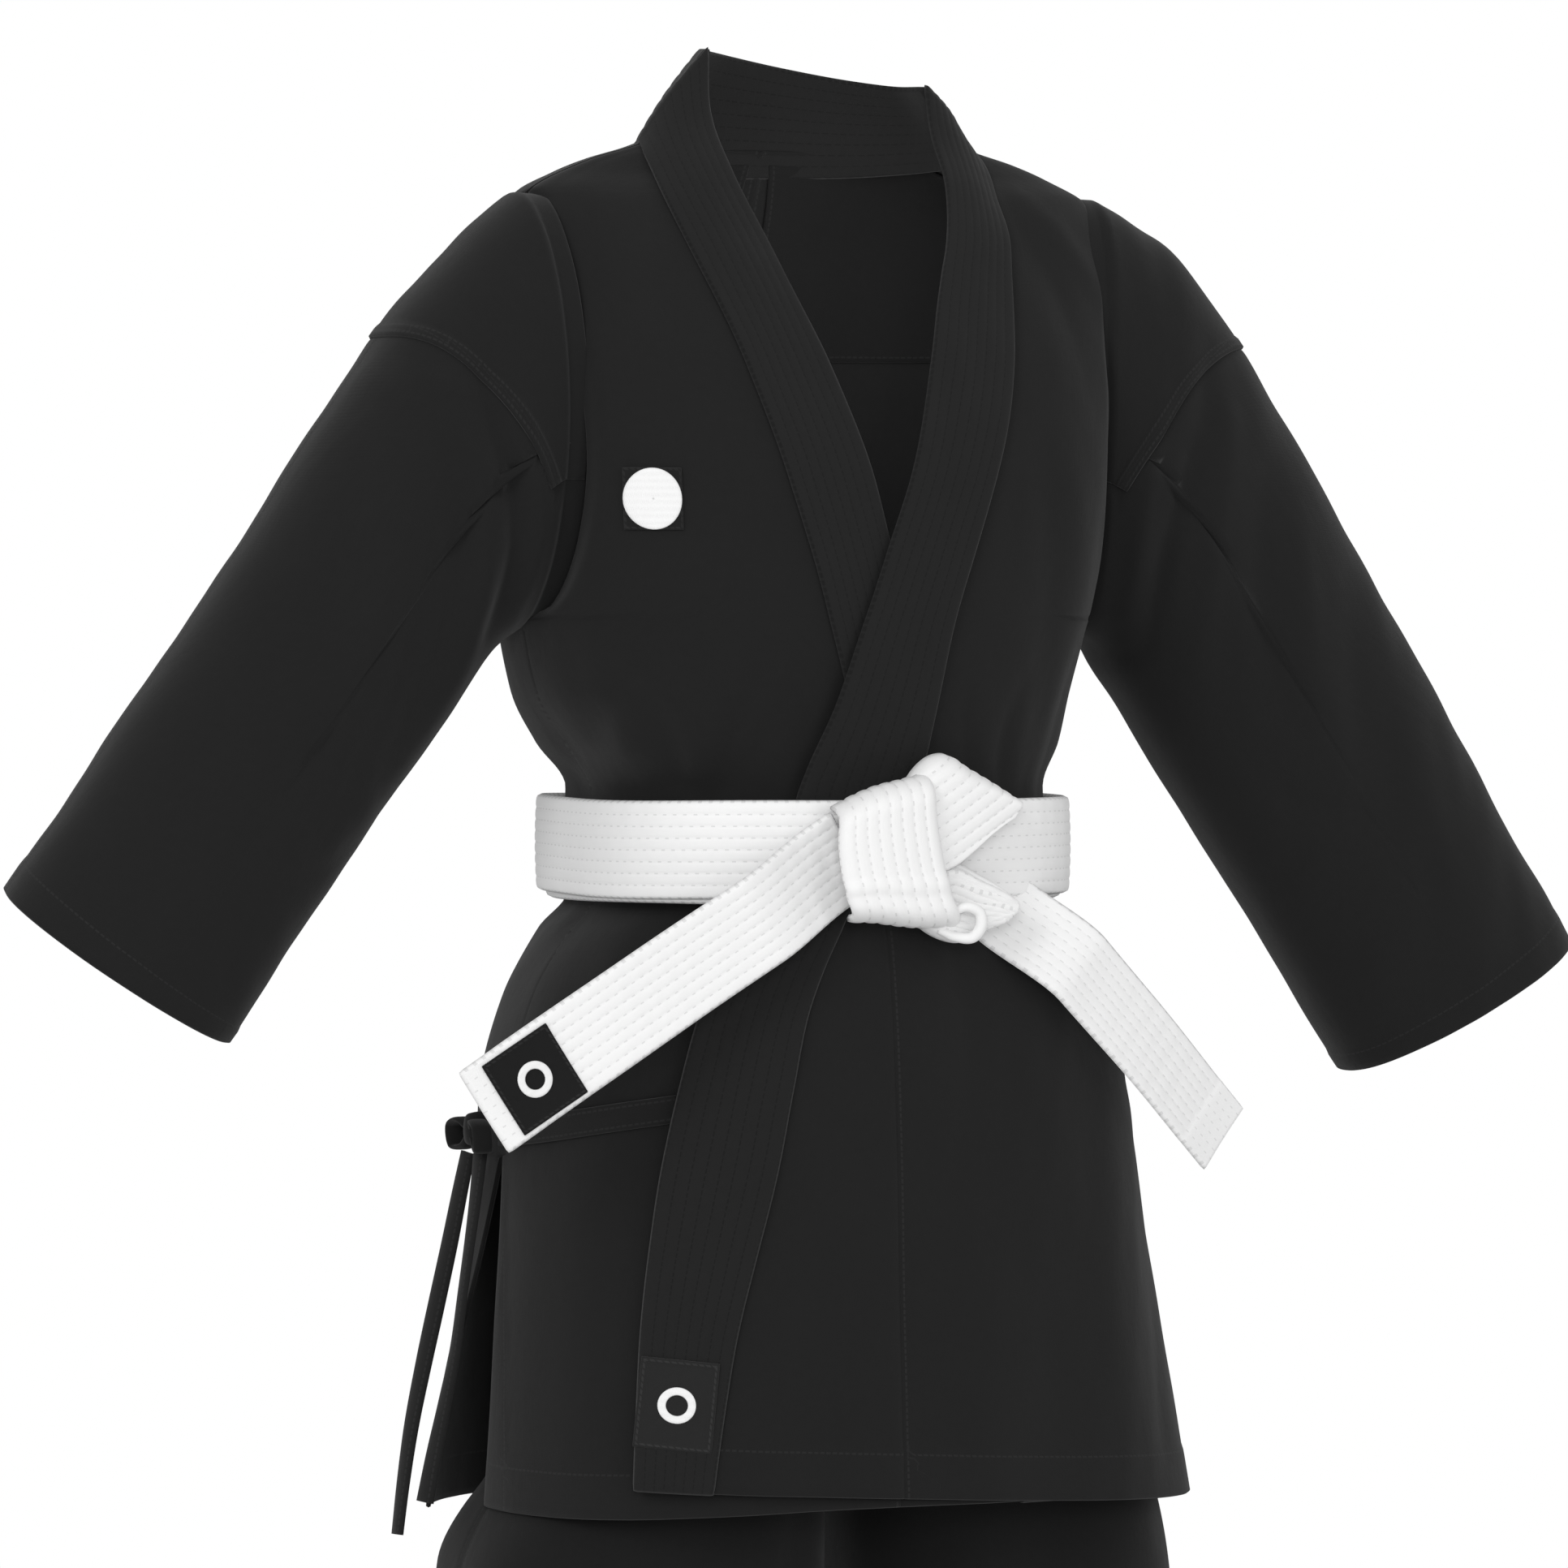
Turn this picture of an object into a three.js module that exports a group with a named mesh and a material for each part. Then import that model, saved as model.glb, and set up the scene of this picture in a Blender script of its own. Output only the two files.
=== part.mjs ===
// Child's martial arts uniform, worn shape: crossed jacket, quilted belt with a
// square knot, side tie, and elastic-waist trousers.
// Millimetres, +Z up. The wearer faces -Y and the wearer's right is -X.
// The origin is on the body's axis at the height where the shoulders meet the neck.
import * as THREE from 'three';

// ---------------------------------------------------------------- driving sizes
const CLOTH = 3;              // modelled thickness of one layer of jacket cloth
const BAND = 4;               // lapel and collar: several layers stitched together
const LAYER = 2.5;            // distance of each crossed front from the middle surface
const SEAM = 0.8;             // clearance left between two pieces sewn edge to edge
const FOLD_SEAM = 2;          // clearance where two pieces meet at a sharp fold
const SQUARENESS = 0.72;      // 1 would make the body's sections true ellipses
const CENTRE = 180;           // body angle of the centre-back seam, degrees from the front
const SIDE = 90;              // body angle of the side seams

const ARMHOLE_TOP = -24;
const ARMHOLE_BOTTOM = -209;
const ARMHOLE_HALF_ANGLE = 30;
const BELT_LINE = -307;
const VENT_TOP = -441;
const JACKET_HEM = -597;
const CUFF_HEM = 16;

const BELT_WIDTH = 40;
const BELT_THICK = 3;
const TAPE_WIDTH = 11;

const TROUSER_RISE = -548;    // lower edge of the trouser seat
const TROUSER_HEM = -1085;

// Body sections: height, half width, front depth, back depth, sideways shift.
const BODY = [
  [0, 72, 10, 50, 0], [-3, 80, 12, 53, 0], [-8, 97, 15, 55, 0], [-14, 112, 20, 58, 0],
  [-24, 130, 31, 63, 0], [-38, 137, 42, 69, 0], [-60, 139, 56, 75, 0],
  [-100, 139, 78, 83, 0], [-150, 135, 94, 88, -2], [-200, 128, 98, 91, -6],
  [-240, 119, 95, 90, -8], [-262, 111, 91, 87, -5], [-282, 99, 88, 84, -1],
  [-330, 99, 88, 84, -1], [-345, 112, 93, 90, -1], [-373, 128, 98, 97, -1],
  [-409, 138, 102, 102, -1], [-452, 142, 105, 104, 1], [-520, 149, 108, 108, 4],
  [JACKET_HEM, 158, 112, 112, 8],
];

// Crossed lapels: height, inner edge, outer seam (both as sideways positions).
const RIGHT_LAPEL = [
  [-45, -37, -73], [-76, -28, -64], [-113, -17, -54], [-150, -6, -44], [-181, 2, -35],
  [-209, 10, -27], [-240, 18, -17], [-275, 27, -4], [-307, 35, 5], [-330, 40, 9],
  [-373, 49, 17], [-441, 62, 30], [-520, 76, 44], [JACKET_HEM, 90, 58],
];
const LEFT_LAPEL = [
  [-45, 47, 76], [-76, 34, 69], [-113, 22, 60], [-150, 10, 47], [-181, -2, 36],
  [-209, -12, 27], [-240, -22, 21], [-275, -34, 15], [-307, -44, 6], [-330, -57, -13],
  [-373, -79, -37], [-441, -97, -53], [-520, -106, -71], [JACKET_HEM, -110, -82],
];
// Lapel ends above the chest, from the collar seam down: inner point, outer point.
const RIGHT_LAPEL_TOP = [
  [[-44, 3, 40], [-75, 1, -1]], [[-48, -7, 15], [-77, -12, -10]],
  [[-46, -28, -15], [-76, -29, -27]],
];
const LEFT_LAPEL_TOP = [
  [[58, 3, 26], [75, 1, -1]], [[57, -8, 5], [79, -12, -10]],
  [[55, -30, -20], [78, -30, -27]],
];
const COLLAR_BASE = [
  [-75, 3, -1], [-68, 27, -2], [-45, 45, -3], [0, 53, -3], [45, 45, -3], [68, 27, -2],
  [75, 3, -1],
];
const COLLAR_TOP = [
  [-44, 5, 40], [-40, 20, 41], [-26, 33, 40], [6, 40, 35], [36, 35, 30], [53, 21, 27],
  [58, 5, 26],
];

// Sleeve outlines from the armhole to the cuff, as [distance from the middle, drop].
const SLEEVES = {
  right: {
    side: -1,
    over: [[136, 27], [153, 40], [172, 58], [197, 87], [235, 142], [276, 203], [319, 262],
      [363, 325]],
    under: [[137, 213], [146, 219], [156, 230], [168, 247], [193, 282], [218, 317],
      [243, 352], [267, 386]],
  },
  left: {
    side: 1,
    over: [[136, 23], [158, 35], [178, 51], [207, 88], [250, 155], [292, 222], [332, 288],
      [373, 354]],
    under: [[131, 213], [140, 221], [148, 236], [163, 258], [189, 297], [215, 335],
      [241, 374], [266, 412]],
  },
};
const SLEEVE_DEPTH = [50, 51, 51, 50, 48, 46, 44, 42];
const ARMHOLE_HOLLOW = 6;     // how far the armhole's front and back edges sit inwards
const SLEEVE_SIDES = 16;
const CAP_REACH = 3;          // stations that the dropped shoulder covers at the top
const CAP_END_ANGLE = 112.5;  // where the dropped shoulder runs out into the armhole

// Trousers: height, half width, half depth.
const SEAT = [
  [-308, 88, 77], [-330, 92, 80], [-340, 99, 84], [-400, 120, 90], [-460, 127, 92],
  [TROUSER_RISE, 130, 88],
];
// Legs: height, inner edge, outer edge, half depth, sideways shift.
const LEG = [
  [-553, 8, 121, 66, 0], [JACKET_HEM, 9, 151, 76, 8], [-640, 10, 157, 79, 8],
  [-700, 13, 160, 79, 6], [-850, 27, 163, 74, 3], [-1000, 38, 166, 69, 0],
  [TROUSER_HEM, 43, 168, 66, 0],
];

// ---------------------------------------------------------------- small helpers
const vec = (x, y, z) => new THREE.Vector3(x, y, z);
const rad = THREE.MathUtils.degToRad;
const mix = THREE.MathUtils.lerp;
const span = (from, to, steps) =>
  Array.from({ length: steps + 1 }, (_, i) => mix(from, to, i / steps));

// Linear reading of a table whose first column is a falling height.
function read(table, z, column) {
  const last = table.length - 1;
  if (z >= table[0][0]) return table[0][column];
  if (z <= table[last][0]) return table[last][column];
  const i = table.findIndex((row) => row[0] <= z);
  const [above, below] = [table[i - 1], table[i]];
  return mix(above[column], below[column], (z - above[0]) / (below[0] - above[0]));
}

// Point on the body's surface. Angle 0 is the front, +90 the wearer's left.
function onBody(angle, z, out = 0) {
  const a = rad(angle);
  const depth = read(BODY, z, Math.abs(angle) <= SIDE ? 2 : 3);
  const bulge = (v) => Math.sign(v) * Math.abs(v) ** SQUARENESS;
  return vec(
    read(BODY, z, 4) + (read(BODY, z, 1) + out) * bulge(Math.sin(a)),
    -(depth + out) * bulge(Math.cos(a)),
    z,
  );
}

// Body angle of the front surface at a sideways position.
function frontAngle(x, z) {
  const share = (x - read(BODY, z, 4)) / read(BODY, z, 1);
  const reach = Math.min(1, Math.abs(share)) ** (1 / SQUARENESS);
  return Math.sign(share) * THREE.MathUtils.radToDeg(Math.asin(reach));
}

// Moves the ends of a row of points inwards, to clear the pieces beside it.
function trim(row, startGap, endGap) {
  const pull = (end, next, gap) => end.addScaledVector(next.clone().sub(end).normalize(), gap);
  pull(row[0], row[1], startGap);
  pull(row[row.length - 1], row[row.length - 2], endGap);
  return row;
}

// Closed solid of even thickness about a grid of points; ring closes each row on itself.
function slab(rows, thickness, ring = false) {
  const [m, n] = [rows.length, rows[0].length];
  const at = (i, j) => rows[Math.min(m - 1, Math.max(0, i))][
    ring ? (j + n) % n : Math.min(n - 1, Math.max(0, j))];
  const positions = [];
  for (const side of [0.5, -0.5]) {
    for (let i = 0; i < m; i += 1) {
      for (let j = 0; j < n; j += 1) {
        const down = at(i + 1, j).clone().sub(at(i - 1, j));
        const across = at(i, j + 1).clone().sub(at(i, j - 1));
        const normal = down.cross(across).normalize();
        const p = at(i, j).clone().addScaledVector(normal, side * thickness);
        positions.push(p.x, p.y, p.z);
      }
    }
  }
  const index = [];
  const quad = (a, b, c, d) => index.push(a, b, c, a, c, d);
  const id = (i, j, back) => back * m * n + i * n + ((j + n) % n);
  const columns = ring ? n : n - 1;
  for (let i = 0; i < m - 1; i += 1) {
    for (let j = 0; j < columns; j += 1) {
      quad(id(i, j, 0), id(i + 1, j, 0), id(i + 1, j + 1, 0), id(i, j + 1, 0));
      quad(id(i, j, 1), id(i, j + 1, 1), id(i + 1, j + 1, 1), id(i + 1, j, 1));
    }
    if (!ring) {
      quad(id(i, 0, 0), id(i, 0, 1), id(i + 1, 0, 1), id(i + 1, 0, 0));
      quad(id(i, n - 1, 0), id(i + 1, n - 1, 0), id(i + 1, n - 1, 1), id(i, n - 1, 1));
    }
  }
  for (let j = 0; j < columns; j += 1) {
    quad(id(0, j, 0), id(0, j + 1, 0), id(0, j + 1, 1), id(0, j, 1));
    quad(id(m - 1, j, 0), id(m - 1, j, 1), id(m - 1, j + 1, 1), id(m - 1, j + 1, 0));
  }
  const geometry = new THREE.BufferGeometry();
  geometry.setAttribute('position', new THREE.Float32BufferAttribute(positions, 3));
  geometry.setIndex(index);
  return facingOut(geometry);
}

// Turns every face over if the solid's signed volume is negative.
function facingOut(geometry) {
  const position = geometry.getAttribute('position');
  const index = geometry.getIndex().array;
  const corner = (k) => new THREE.Vector3().fromBufferAttribute(position, index[k]);
  let volume = 0;
  for (let k = 0; k < index.length; k += 3) {
    volume += corner(k).dot(corner(k + 1).cross(corner(k + 2)));
  }
  if (volume < 0) {
    for (let k = 0; k < index.length; k += 3) {
      [index[k + 1], index[k + 2]] = [index[k + 2], index[k + 1]];
    }
  }
  geometry.computeVertexNormals();
  return geometry;
}

// ---------------------------------------------------------------- materials
const finish = (color, roughness) => ({ color, roughness, metalness: 0 });
const JACKET_CLOTH = finish(0x262626, 0.9);
const LAPEL_CLOTH = finish(0x2a2a2a, 0.85);
const LINING_CLOTH = finish(0x202020, 0.95);
const BELT_COTTON = finish(0xf4f4f2, 0.9);
const PATCH_BLACK = finish(0x0c0c0c, 0.7);
const PATCH_GREY = finish(0x343434, 0.7);
const BADGE_WHITE = finish(0xf0f0f0, 0.7);
const TROUSER_CLOTH = finish(0x1a1a1a, 0.92);
const ELASTIC = finish(0xdadada, 0.8);

const uniform = new THREE.Group();
uniform.name = 'martial_arts_uniform';

function add(name, geometry, look, parent = uniform) {
  const mesh = new THREE.Mesh(geometry, new THREE.MeshStandardMaterial(look));
  mesh.name = name;
  parent.add(mesh);
  return mesh;
}

// ---------------------------------------------------------------- jacket body
const armholeMiddle = (ARMHOLE_TOP + ARMHOLE_BOTTOM) / 2;
const armholeReach = (ARMHOLE_TOP - ARMHOLE_BOTTOM) / 2;
const ARMHOLE_LEVELS = [1, 2, 3, 4, 5, 6, 7, 8].map(
  (k) => armholeMiddle + armholeReach * Math.cos(rad(k * 22.5)),
);
const BODY_LEVELS = [-6, -12, ARMHOLE_TOP, ...ARMHOLE_LEVELS, -245, -282, BELT_LINE];
const SKIRT_LEVELS = [-330, -350, -373, -409, VENT_TOP, -520, JACKET_HEM];

// How far the armhole cuts into a panel at a height, in body angle.
function armholeCut(z) {
  const share = (z - armholeMiddle) / armholeReach;
  return Math.abs(share) >= 1 ? 0 : ARMHOLE_HALF_ANGLE * Math.sqrt(1 - share * share);
}

const byArmhole = (z) => z > ARMHOLE_BOTTOM + 1;
const sideGap = (z) => (byArmhole(z) ? FOLD_SEAM : SEAM);

const NECK_SIDE = 80;         // sideways place of the front's edge beside the neck
const NECK_BASE = -40;        // height down to which that edge runs straight
const NECK_REACH = -130;      // height down to which the lapel seam bends sharply
// Front of one side, from the lapel's outer seam, or the overlap's, to the side seam.
function frontPanel(side, lapel, out) {
  const levels = [...BODY_LEVELS, ...SKIRT_LEVELS];
  return slab(levels.map((z) => {
    const inner = z >= BELT_LINE ? read(lapel, z, 2) : 0;
    const neckSide = z > NECK_BASE ? side * NECK_SIDE : inner;
    const from = frontAngle(neckSide, z);
    const to = side * (SIDE - armholeCut(z));
    const row = span(from, to, 7).map((angle) => onBody(angle, z, out));
    return trim(row, z > NECK_REACH ? FOLD_SEAM : SEAM * 1.5, sideGap(z));
  }), CLOTH);
}
add('right_front_panel', frontPanel(-1, RIGHT_LAPEL, -LAYER), JACKET_CLOTH);
add('left_front_panel', frontPanel(1, LEFT_LAPEL, LAYER), JACKET_CLOTH);

// Gore that carries each front across the other one, below the belt.
function overlapPanel(lapel, out) {
  return slab(SKIRT_LEVELS.map((z) => {
    const [from, to] = [frontAngle(0, z), frontAngle(read(lapel, z, 2), z)];
    return trim(span(from, to, 3).map((angle) => onBody(angle, z, out)), SEAM, SEAM * 1.5);
  }), CLOTH);
}
add('right_overlap_panel', overlapPanel(RIGHT_LAPEL, -LAYER), JACKET_CLOTH);
add('left_overlap_panel', overlapPanel(LEFT_LAPEL, LAYER), JACKET_CLOTH);

// Quilted band on the edge of each front, from the collar seam to the hem.
function lapelBand(top, lapel, out) {
  const upper = top.map((pair) => pair.map((p) => vec(...p)));
  const levels = [-45, ...BODY_LEVELS.filter((z) => z < -60), ...SKIRT_LEVELS];
  const lower = levels.map((z) => [1, 2].map(
    (column) => onBody(frontAngle(read(lapel, z, column), z), z, out),
  ));
  const rows = [...upper, ...lower].map(([inner, outer], i) => {
    const across = span(0, 1, 3).map((t) => inner.clone().lerp(outer, t));
    if (i < upper.length) return across;
    const z = inner.z;
    return across.map((p) => onBody(frontAngle(p.x, z), z, out));
  });
  return slab(rows, BAND);
}
add('right_lapel', lapelBand(RIGHT_LAPEL_TOP, RIGHT_LAPEL, -LAYER), LAPEL_CLOTH);
add('left_lapel', lapelBand(LEFT_LAPEL_TOP, LEFT_LAPEL, LAYER), LAPEL_CLOTH);

const smooth = (points) => new THREE.CatmullRomCurve3(points.map((p) => vec(...p)));
const collarBase = smooth(COLLAR_BASE);
const collarTop = smooth(COLLAR_TOP);
const collarRows = span(0, 1, 14).map((t) => {
  const [low, high] = [collarBase.getPoint(t), collarTop.getPoint(t)];
  return span(0, 1, 2).map((s) => low.clone().lerp(high, s));
});
const clearEnd = (row, y) => row.forEach((p) => { p.y += y; });
clearEnd(collarRows[0], FOLD_SEAM);
clearEnd(collarRows[collarRows.length - 1], FOLD_SEAM);
add('neck_collar', slab(collarRows, BAND), LAPEL_CLOTH);

// Back halves down to the vents, joined by the centre-back seam.
function backPanel(side) {
  const levels = [-8, ARMHOLE_TOP, ...BODY_LEVELS.slice(3), ...SKIRT_LEVELS.slice(0, 5)];
  return slab(levels.map((z) => {
    const from = side * (SIDE + armholeCut(z));
    const row = span(from, side * CENTRE, 8).map((angle) => onBody(angle, z));
    return trim(row, sideGap(z), SEAM / 2);
  }), CLOTH);
}
const VENT_SPREAD = 26;       // body angle that the vent opens by at the hem
const FLAP_GAP = 1;
// Lower back below the vents, free to lift away from the trousers.
function backFlap(side) {
  return slab(span(VENT_TOP - FLAP_GAP, JACKET_HEM, 3).map((z) => {
    const open = VENT_SPREAD * ((VENT_TOP - z) / (VENT_TOP - JACKET_HEM));
    const row = span(side * (SIDE + open), side * CENTRE, 7).map((angle) => onBody(angle, z));
    return trim(row, FOLD_SEAM, SEAM / 2);
  }), CLOTH);
}
// Second layer inside the shoulders, from the neck towards the armhole.
const LINING_DEPTH = 5;
function shoulderLining(side) {
  return slab([-20, -35, -60, -90].map((z) => span(side * 130, side * 176, 5).map(
    (angle) => onBody(angle, z, -LINING_DEPTH),
  )), 1.5);
}
// Small square sewn inside the top of each side vent.
function ventPatch(side) {
  const rows = [VENT_TOP + 24, VENT_TOP + 14, VENT_TOP + 4].map((z) => span(
    side * (SIDE + 4), side * (SIDE + 12), 3,
  ).map((angle) => onBody(angle, z, -3)));
  return slab(rows, 1.5);
}
for (const [name, side] of [['right', -1], ['left', 1]]) {
  add(`back_${name}_panel`, backPanel(side), JACKET_CLOTH);
  add(`back_${name}_flap`, backFlap(side), JACKET_CLOTH);
  add(`${name}_shoulder_lining`, shoulderLining(side), LINING_CLOTH);
  add(`${name}_vent_patch`, ventPatch(side), LINING_CLOTH);
}

// ---------------------------------------------------------------- sleeves
// Point on a sleeve: station 0 is the armhole, the last is the cuff; angle 0 is the
// top edge and 90 the front.
function onSleeve(sleeve, station, angle, inset = 0) {
  const last = sleeve.over.length - 1;
  const i = Math.min(last - 1, Math.floor(station));
  const t = station - i;
  const along = (points) => [0, 1].map((k) => mix(points[i][k], points[i + 1][k], t));
  const [[ox, oz], [ux, uz]] = [along(sleeve.over), along(sleeve.under)];
  const half = Math.hypot(ox - ux, oz - uz) / 2;
  const depth = mix(SLEEVE_DEPTH[i], SLEEVE_DEPTH[i + 1], t) - inset;
  const reach = ((half - inset) / half) * Math.cos(rad(angle));
  const round = Math.sign(Math.sin(rad(angle))) * Math.abs(Math.sin(rad(angle))) ** 0.85;
  const hollow = ARMHOLE_HOLLOW * Math.max(0, 1 - station / 2) * Math.sin(rad(angle)) ** 2;
  return vec(
    sleeve.side * ((ox + ux) / 2 + (reach * (ox - ux)) / 2 - hollow),
    -depth * round,
    -(oz + uz) / 2 - (reach * (oz - uz)) / 2,
  );
}
const CAP_EDGE = 0.25;
// Station of the dropped-shoulder seam at an angle round the sleeve.
function capSeam(angle) {
  const fold = Math.abs(angle > CENTRE ? angle - 360 : angle);
  if (fold > CAP_END_ANGLE) return 0;
  const share = Math.max(0, Math.cos(rad((fold * SIDE) / CAP_END_ANGLE)));
  return CAP_EDGE + (CAP_REACH - CAP_EDGE) * share;
}
const SEAM_STATIONS = 0.04;
for (const [name, sleeve] of Object.entries(SLEEVES)) {
  const cuff = sleeve.over.length - 1;
  const ends = CAP_END_ANGLE - 22.5;
  const capRows = span(-ends, ends, 8).map((angle) => span(0, 1, 4).map(
    (t) => onSleeve(sleeve, t * (capSeam(angle) - SEAM_STATIONS), angle),
  ));
  add(`${name}_shoulder_cap`, slab(capRows, CLOTH), JACKET_CLOTH);
  const round = span(0, 360, SLEEVE_SIDES).slice(0, -1);
  const sleeveRows = [0, 0.1, 0.25, 0.42, 0.6, 0.8, 1].map((t) => round.map((angle) => {
    const start = capSeam(angle) + SEAM_STATIONS;
    return onSleeve(sleeve, mix(start, cuff, t), angle);
  }));
  add(`${name}_sleeve`, slab(sleeveRows, CLOTH, true), JACKET_CLOTH);
  const cuffStart = cuff - CUFF_HEM / 72;
  const facing = span(cuffStart, cuff - 0.01, 1).map(
    (station) => round.map((angle) => onSleeve(sleeve, station, angle, 3.4)),
  );
  add(`${name}_cuff_facing`, slab(facing, 2, true), LINING_CLOTH);
}

// ---------------------------------------------------------------- belt
const BELT_SIDES = 32;
function beltWrap(top, out) {
  const angles = span(-180, 180, BELT_SIDES).slice(0, -1);
  return slab([0, 0.5, 1].map((t) => {
    const z = top - t * BELT_WIDTH;
    return angles.map((angle) => onBody(angle, BELT_LINE, out).setZ(z));
  }), BELT_THICK, true);
}
const INNER_WRAP = LAYER + BAND / 2 + BELT_THICK / 2 + 1.7;
const OUTER_WRAP = INNER_WRAP + BELT_THICK + 0.6;
add('belt_inner_wrap', beltWrap(-284, INNER_WRAP), BELT_COTTON);
add('belt_outer_wrap', beltWrap(-288, OUTER_WRAP), BELT_COTTON);

// A crowned plate: an outline in the XZ plane, thick along Y, its front face bowed out.
function knotPart(outline, back, front) {
  const shape = new THREE.Shape(outline.map(([x, z]) => new THREE.Vector2(x, z)));
  const bevel = (back - front) / 4;
  const geometry = new THREE.ExtrudeGeometry(shape, {
    depth: back - front - 2 * bevel,
    bevelThickness: bevel,
    bevelSize: bevel,
    bevelOffset: -bevel,
    bevelSegments: 2,
    steps: 1,
  });
  geometry.rotateX(Math.PI / 2);
  geometry.translate(0, back - bevel, 0);
  return geometry;
}
const KNOT_BACK = -101.5;
const KNOT_FRONT = -113;
add('knot_wrap', knotPart(
  [[-30, -288], [-12, -280], [12, -276], [17, -300], [19, -337], [-4, -340], [-24, -336]],
  KNOT_BACK, KNOT_FRONT,
), BELT_COTTON);
add('knot_upper_fold', knotPart(
  [[14, -275], [24, -267], [58, -286], [56, -309], [20, -309]],
  KNOT_BACK, KNOT_FRONT,
), BELT_COTTON);
add('knot_lower_fold', knotPart(
  [[21, -311], [56, -311], [54, -329], [36, -346], [22, -338]],
  -117, -122,
), BELT_COTTON);

// Free end of the belt from its root by the knot: drop is its slope in its own plane,
// turn is how far that plane is turned about the vertical from the front.
function beltTail(name, { root, drop, turn, length }) {
  const tail = new THREE.Group();
  tail.position.set(...root);
  tail.rotation.set(0, rad(drop), rad(turn), 'ZYX');
  uniform.add(tail);
  const strip = new THREE.BoxGeometry(length, 3.5, BELT_WIDTH, 8, 1, 2);
  strip.translate(length / 2, 0, 0);
  add(name, strip, BELT_COTTON, tail);
  return tail;
}
const RIGHT_TAIL = { root: [-33, -118, -318], drop: 148, turn: 0, length: 198 };
const LEFT_TAIL = { root: [61, -112, -330], drop: 44, turn: 15, length: 150 };
const rightTail = beltTail('right_belt_tail', RIGHT_TAIL);
beltTail('left_belt_tail', LEFT_TAIL);
const PATCH_SIZE = 33;
const endPatch = new THREE.BoxGeometry(PATCH_SIZE, 0.8, PATCH_SIZE + 1);
endPatch.translate(RIGHT_TAIL.length - PATCH_SIZE / 2 - 4, -2.5, 0);
add('belt_end_patch', endPatch, PATCH_BLACK, rightTail);

// ---------------------------------------------------------------- badges
// Thin plate standing on the body's front at a sideways position and height.
function plate(name, x, z, out, width, height, look) {
  const angle = frontAngle(x, z);
  const middle = onBody(angle, z, out);
  const across = onBody(angle + 2, z, out).sub(onBody(angle - 2, z, out)).normalize();
  const up = onBody(angle, z + 8, out).sub(onBody(angle, z - 8, out)).normalize();
  const outward = across.clone().cross(up).normalize();
  const mesh = add(name, new THREE.BoxGeometry(width, height, 0.8), look);
  mesh.quaternion.setFromRotationMatrix(
    new THREE.Matrix4().makeBasis(across, outward.clone().cross(across), outward),
  );
  mesh.position.copy(middle);
}
plate('chest_badge', -101, -157, 1.9, 26, 26, BADGE_WHITE);
plate('lapel_patch', -94, -545, LAYER + BAND / 2 + 1.6, 32, 34, PATCH_GREY);

// ---------------------------------------------------------------- side tie
const TIE_OUT = 0.9;
const tieAngles = span(-89, frontAngle(-99, -419), 6);
const tieRows = [0, 1].map((edge) => tieAngles.map((angle, i) => {
  const z = mix(-431, -417, i / 6) + (edge ? -TAPE_WIDTH / 2 : TAPE_WIDTH / 2);
  return onBody(angle, z, TIE_OUT);
}));
add('tie_band', slab(tieRows, 1.2), JACKET_CLOTH);
const TIE_KNOT = [-150, 8, -430];
const tieKnot = new THREE.SphereGeometry(1, 12, 8);
tieKnot.scale(6.5, 9, 8);
tieKnot.translate(...TIE_KNOT);
add('tie_bow_knot', tieKnot, JACKET_CLOTH);

// Hanging ends of the tie: flat tapes about 11 mm wide, free below the knot.
const STRAND_THICK = 3;
function strand(points) {
  const half = [TAPE_WIDTH / 2, STRAND_THICK / 2];
  const corners = span(0, 360, 8).slice(0, -1).map((a) => new THREE.Vector2(
    half[1] * Math.cos(rad(a + 22.5)), half[0] * Math.sin(rad(a + 22.5)),
  ));
  return new THREE.ExtrudeGeometry(new THREE.Shape(corners), {
    steps: 16,
    extrudePath: new THREE.CatmullRomCurve3(points.map((p) => vec(...p))),
    bevelEnabled: false,
  });
}
const REAR_STRAND = [
  [-153, 12, -440], [-156, 13, -455], [-161, 14, -480], [-167, 14, -506], [-173, 14, -532],
  [-179, 13, -559], [-183, 12, -583], [-186, 11, -605],
];
const FRONT_STRAND = [
  [-151, 2, -440], [-153, 1, -455], [-156, 0, -475], [-160, -1, -500], [-164, -2, -525],
  [-169, -2, -548], [-174, -2, -570], [-178, -2, -590],
];
add('tie_strand_rear', strand(REAR_STRAND), JACKET_CLOTH);
add('tie_strand_front', strand(FRONT_STRAND), JACKET_CLOTH);

// ---------------------------------------------------------------- trousers
// Point on the trouser seat's section at an angle from the front.
function onSeat(angle, z, inset = 0) {
  const bulge = (v) => Math.sign(v) * Math.abs(v) ** 0.8;
  return vec(
    (read(SEAT, z, 1) - inset) * bulge(Math.sin(rad(angle))),
    -(read(SEAT, z, 2) - inset) * bulge(Math.cos(rad(angle))),
    z,
  );
}
const WAIST_TOP = -268;
const WAIST_BOTTOM = -306;
const ringAngles = span(-180, 180, 24).slice(0, -1);
const waistRing = (top, bottom, inset) => [top, bottom].map(
  (z) => ringAngles.map((angle) => onSeat(angle, SEAT[0][0], inset).setZ(z)),
);
add('waistband', slab(waistRing(WAIST_TOP, WAIST_BOTTOM, 0), 2.5, true), TROUSER_CLOTH);
add('waist_elastic', slab(waistRing(WAIST_TOP - 4, WAIST_BOTTOM + 4, 2.8), 1.8, true), ELASTIC);

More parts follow.
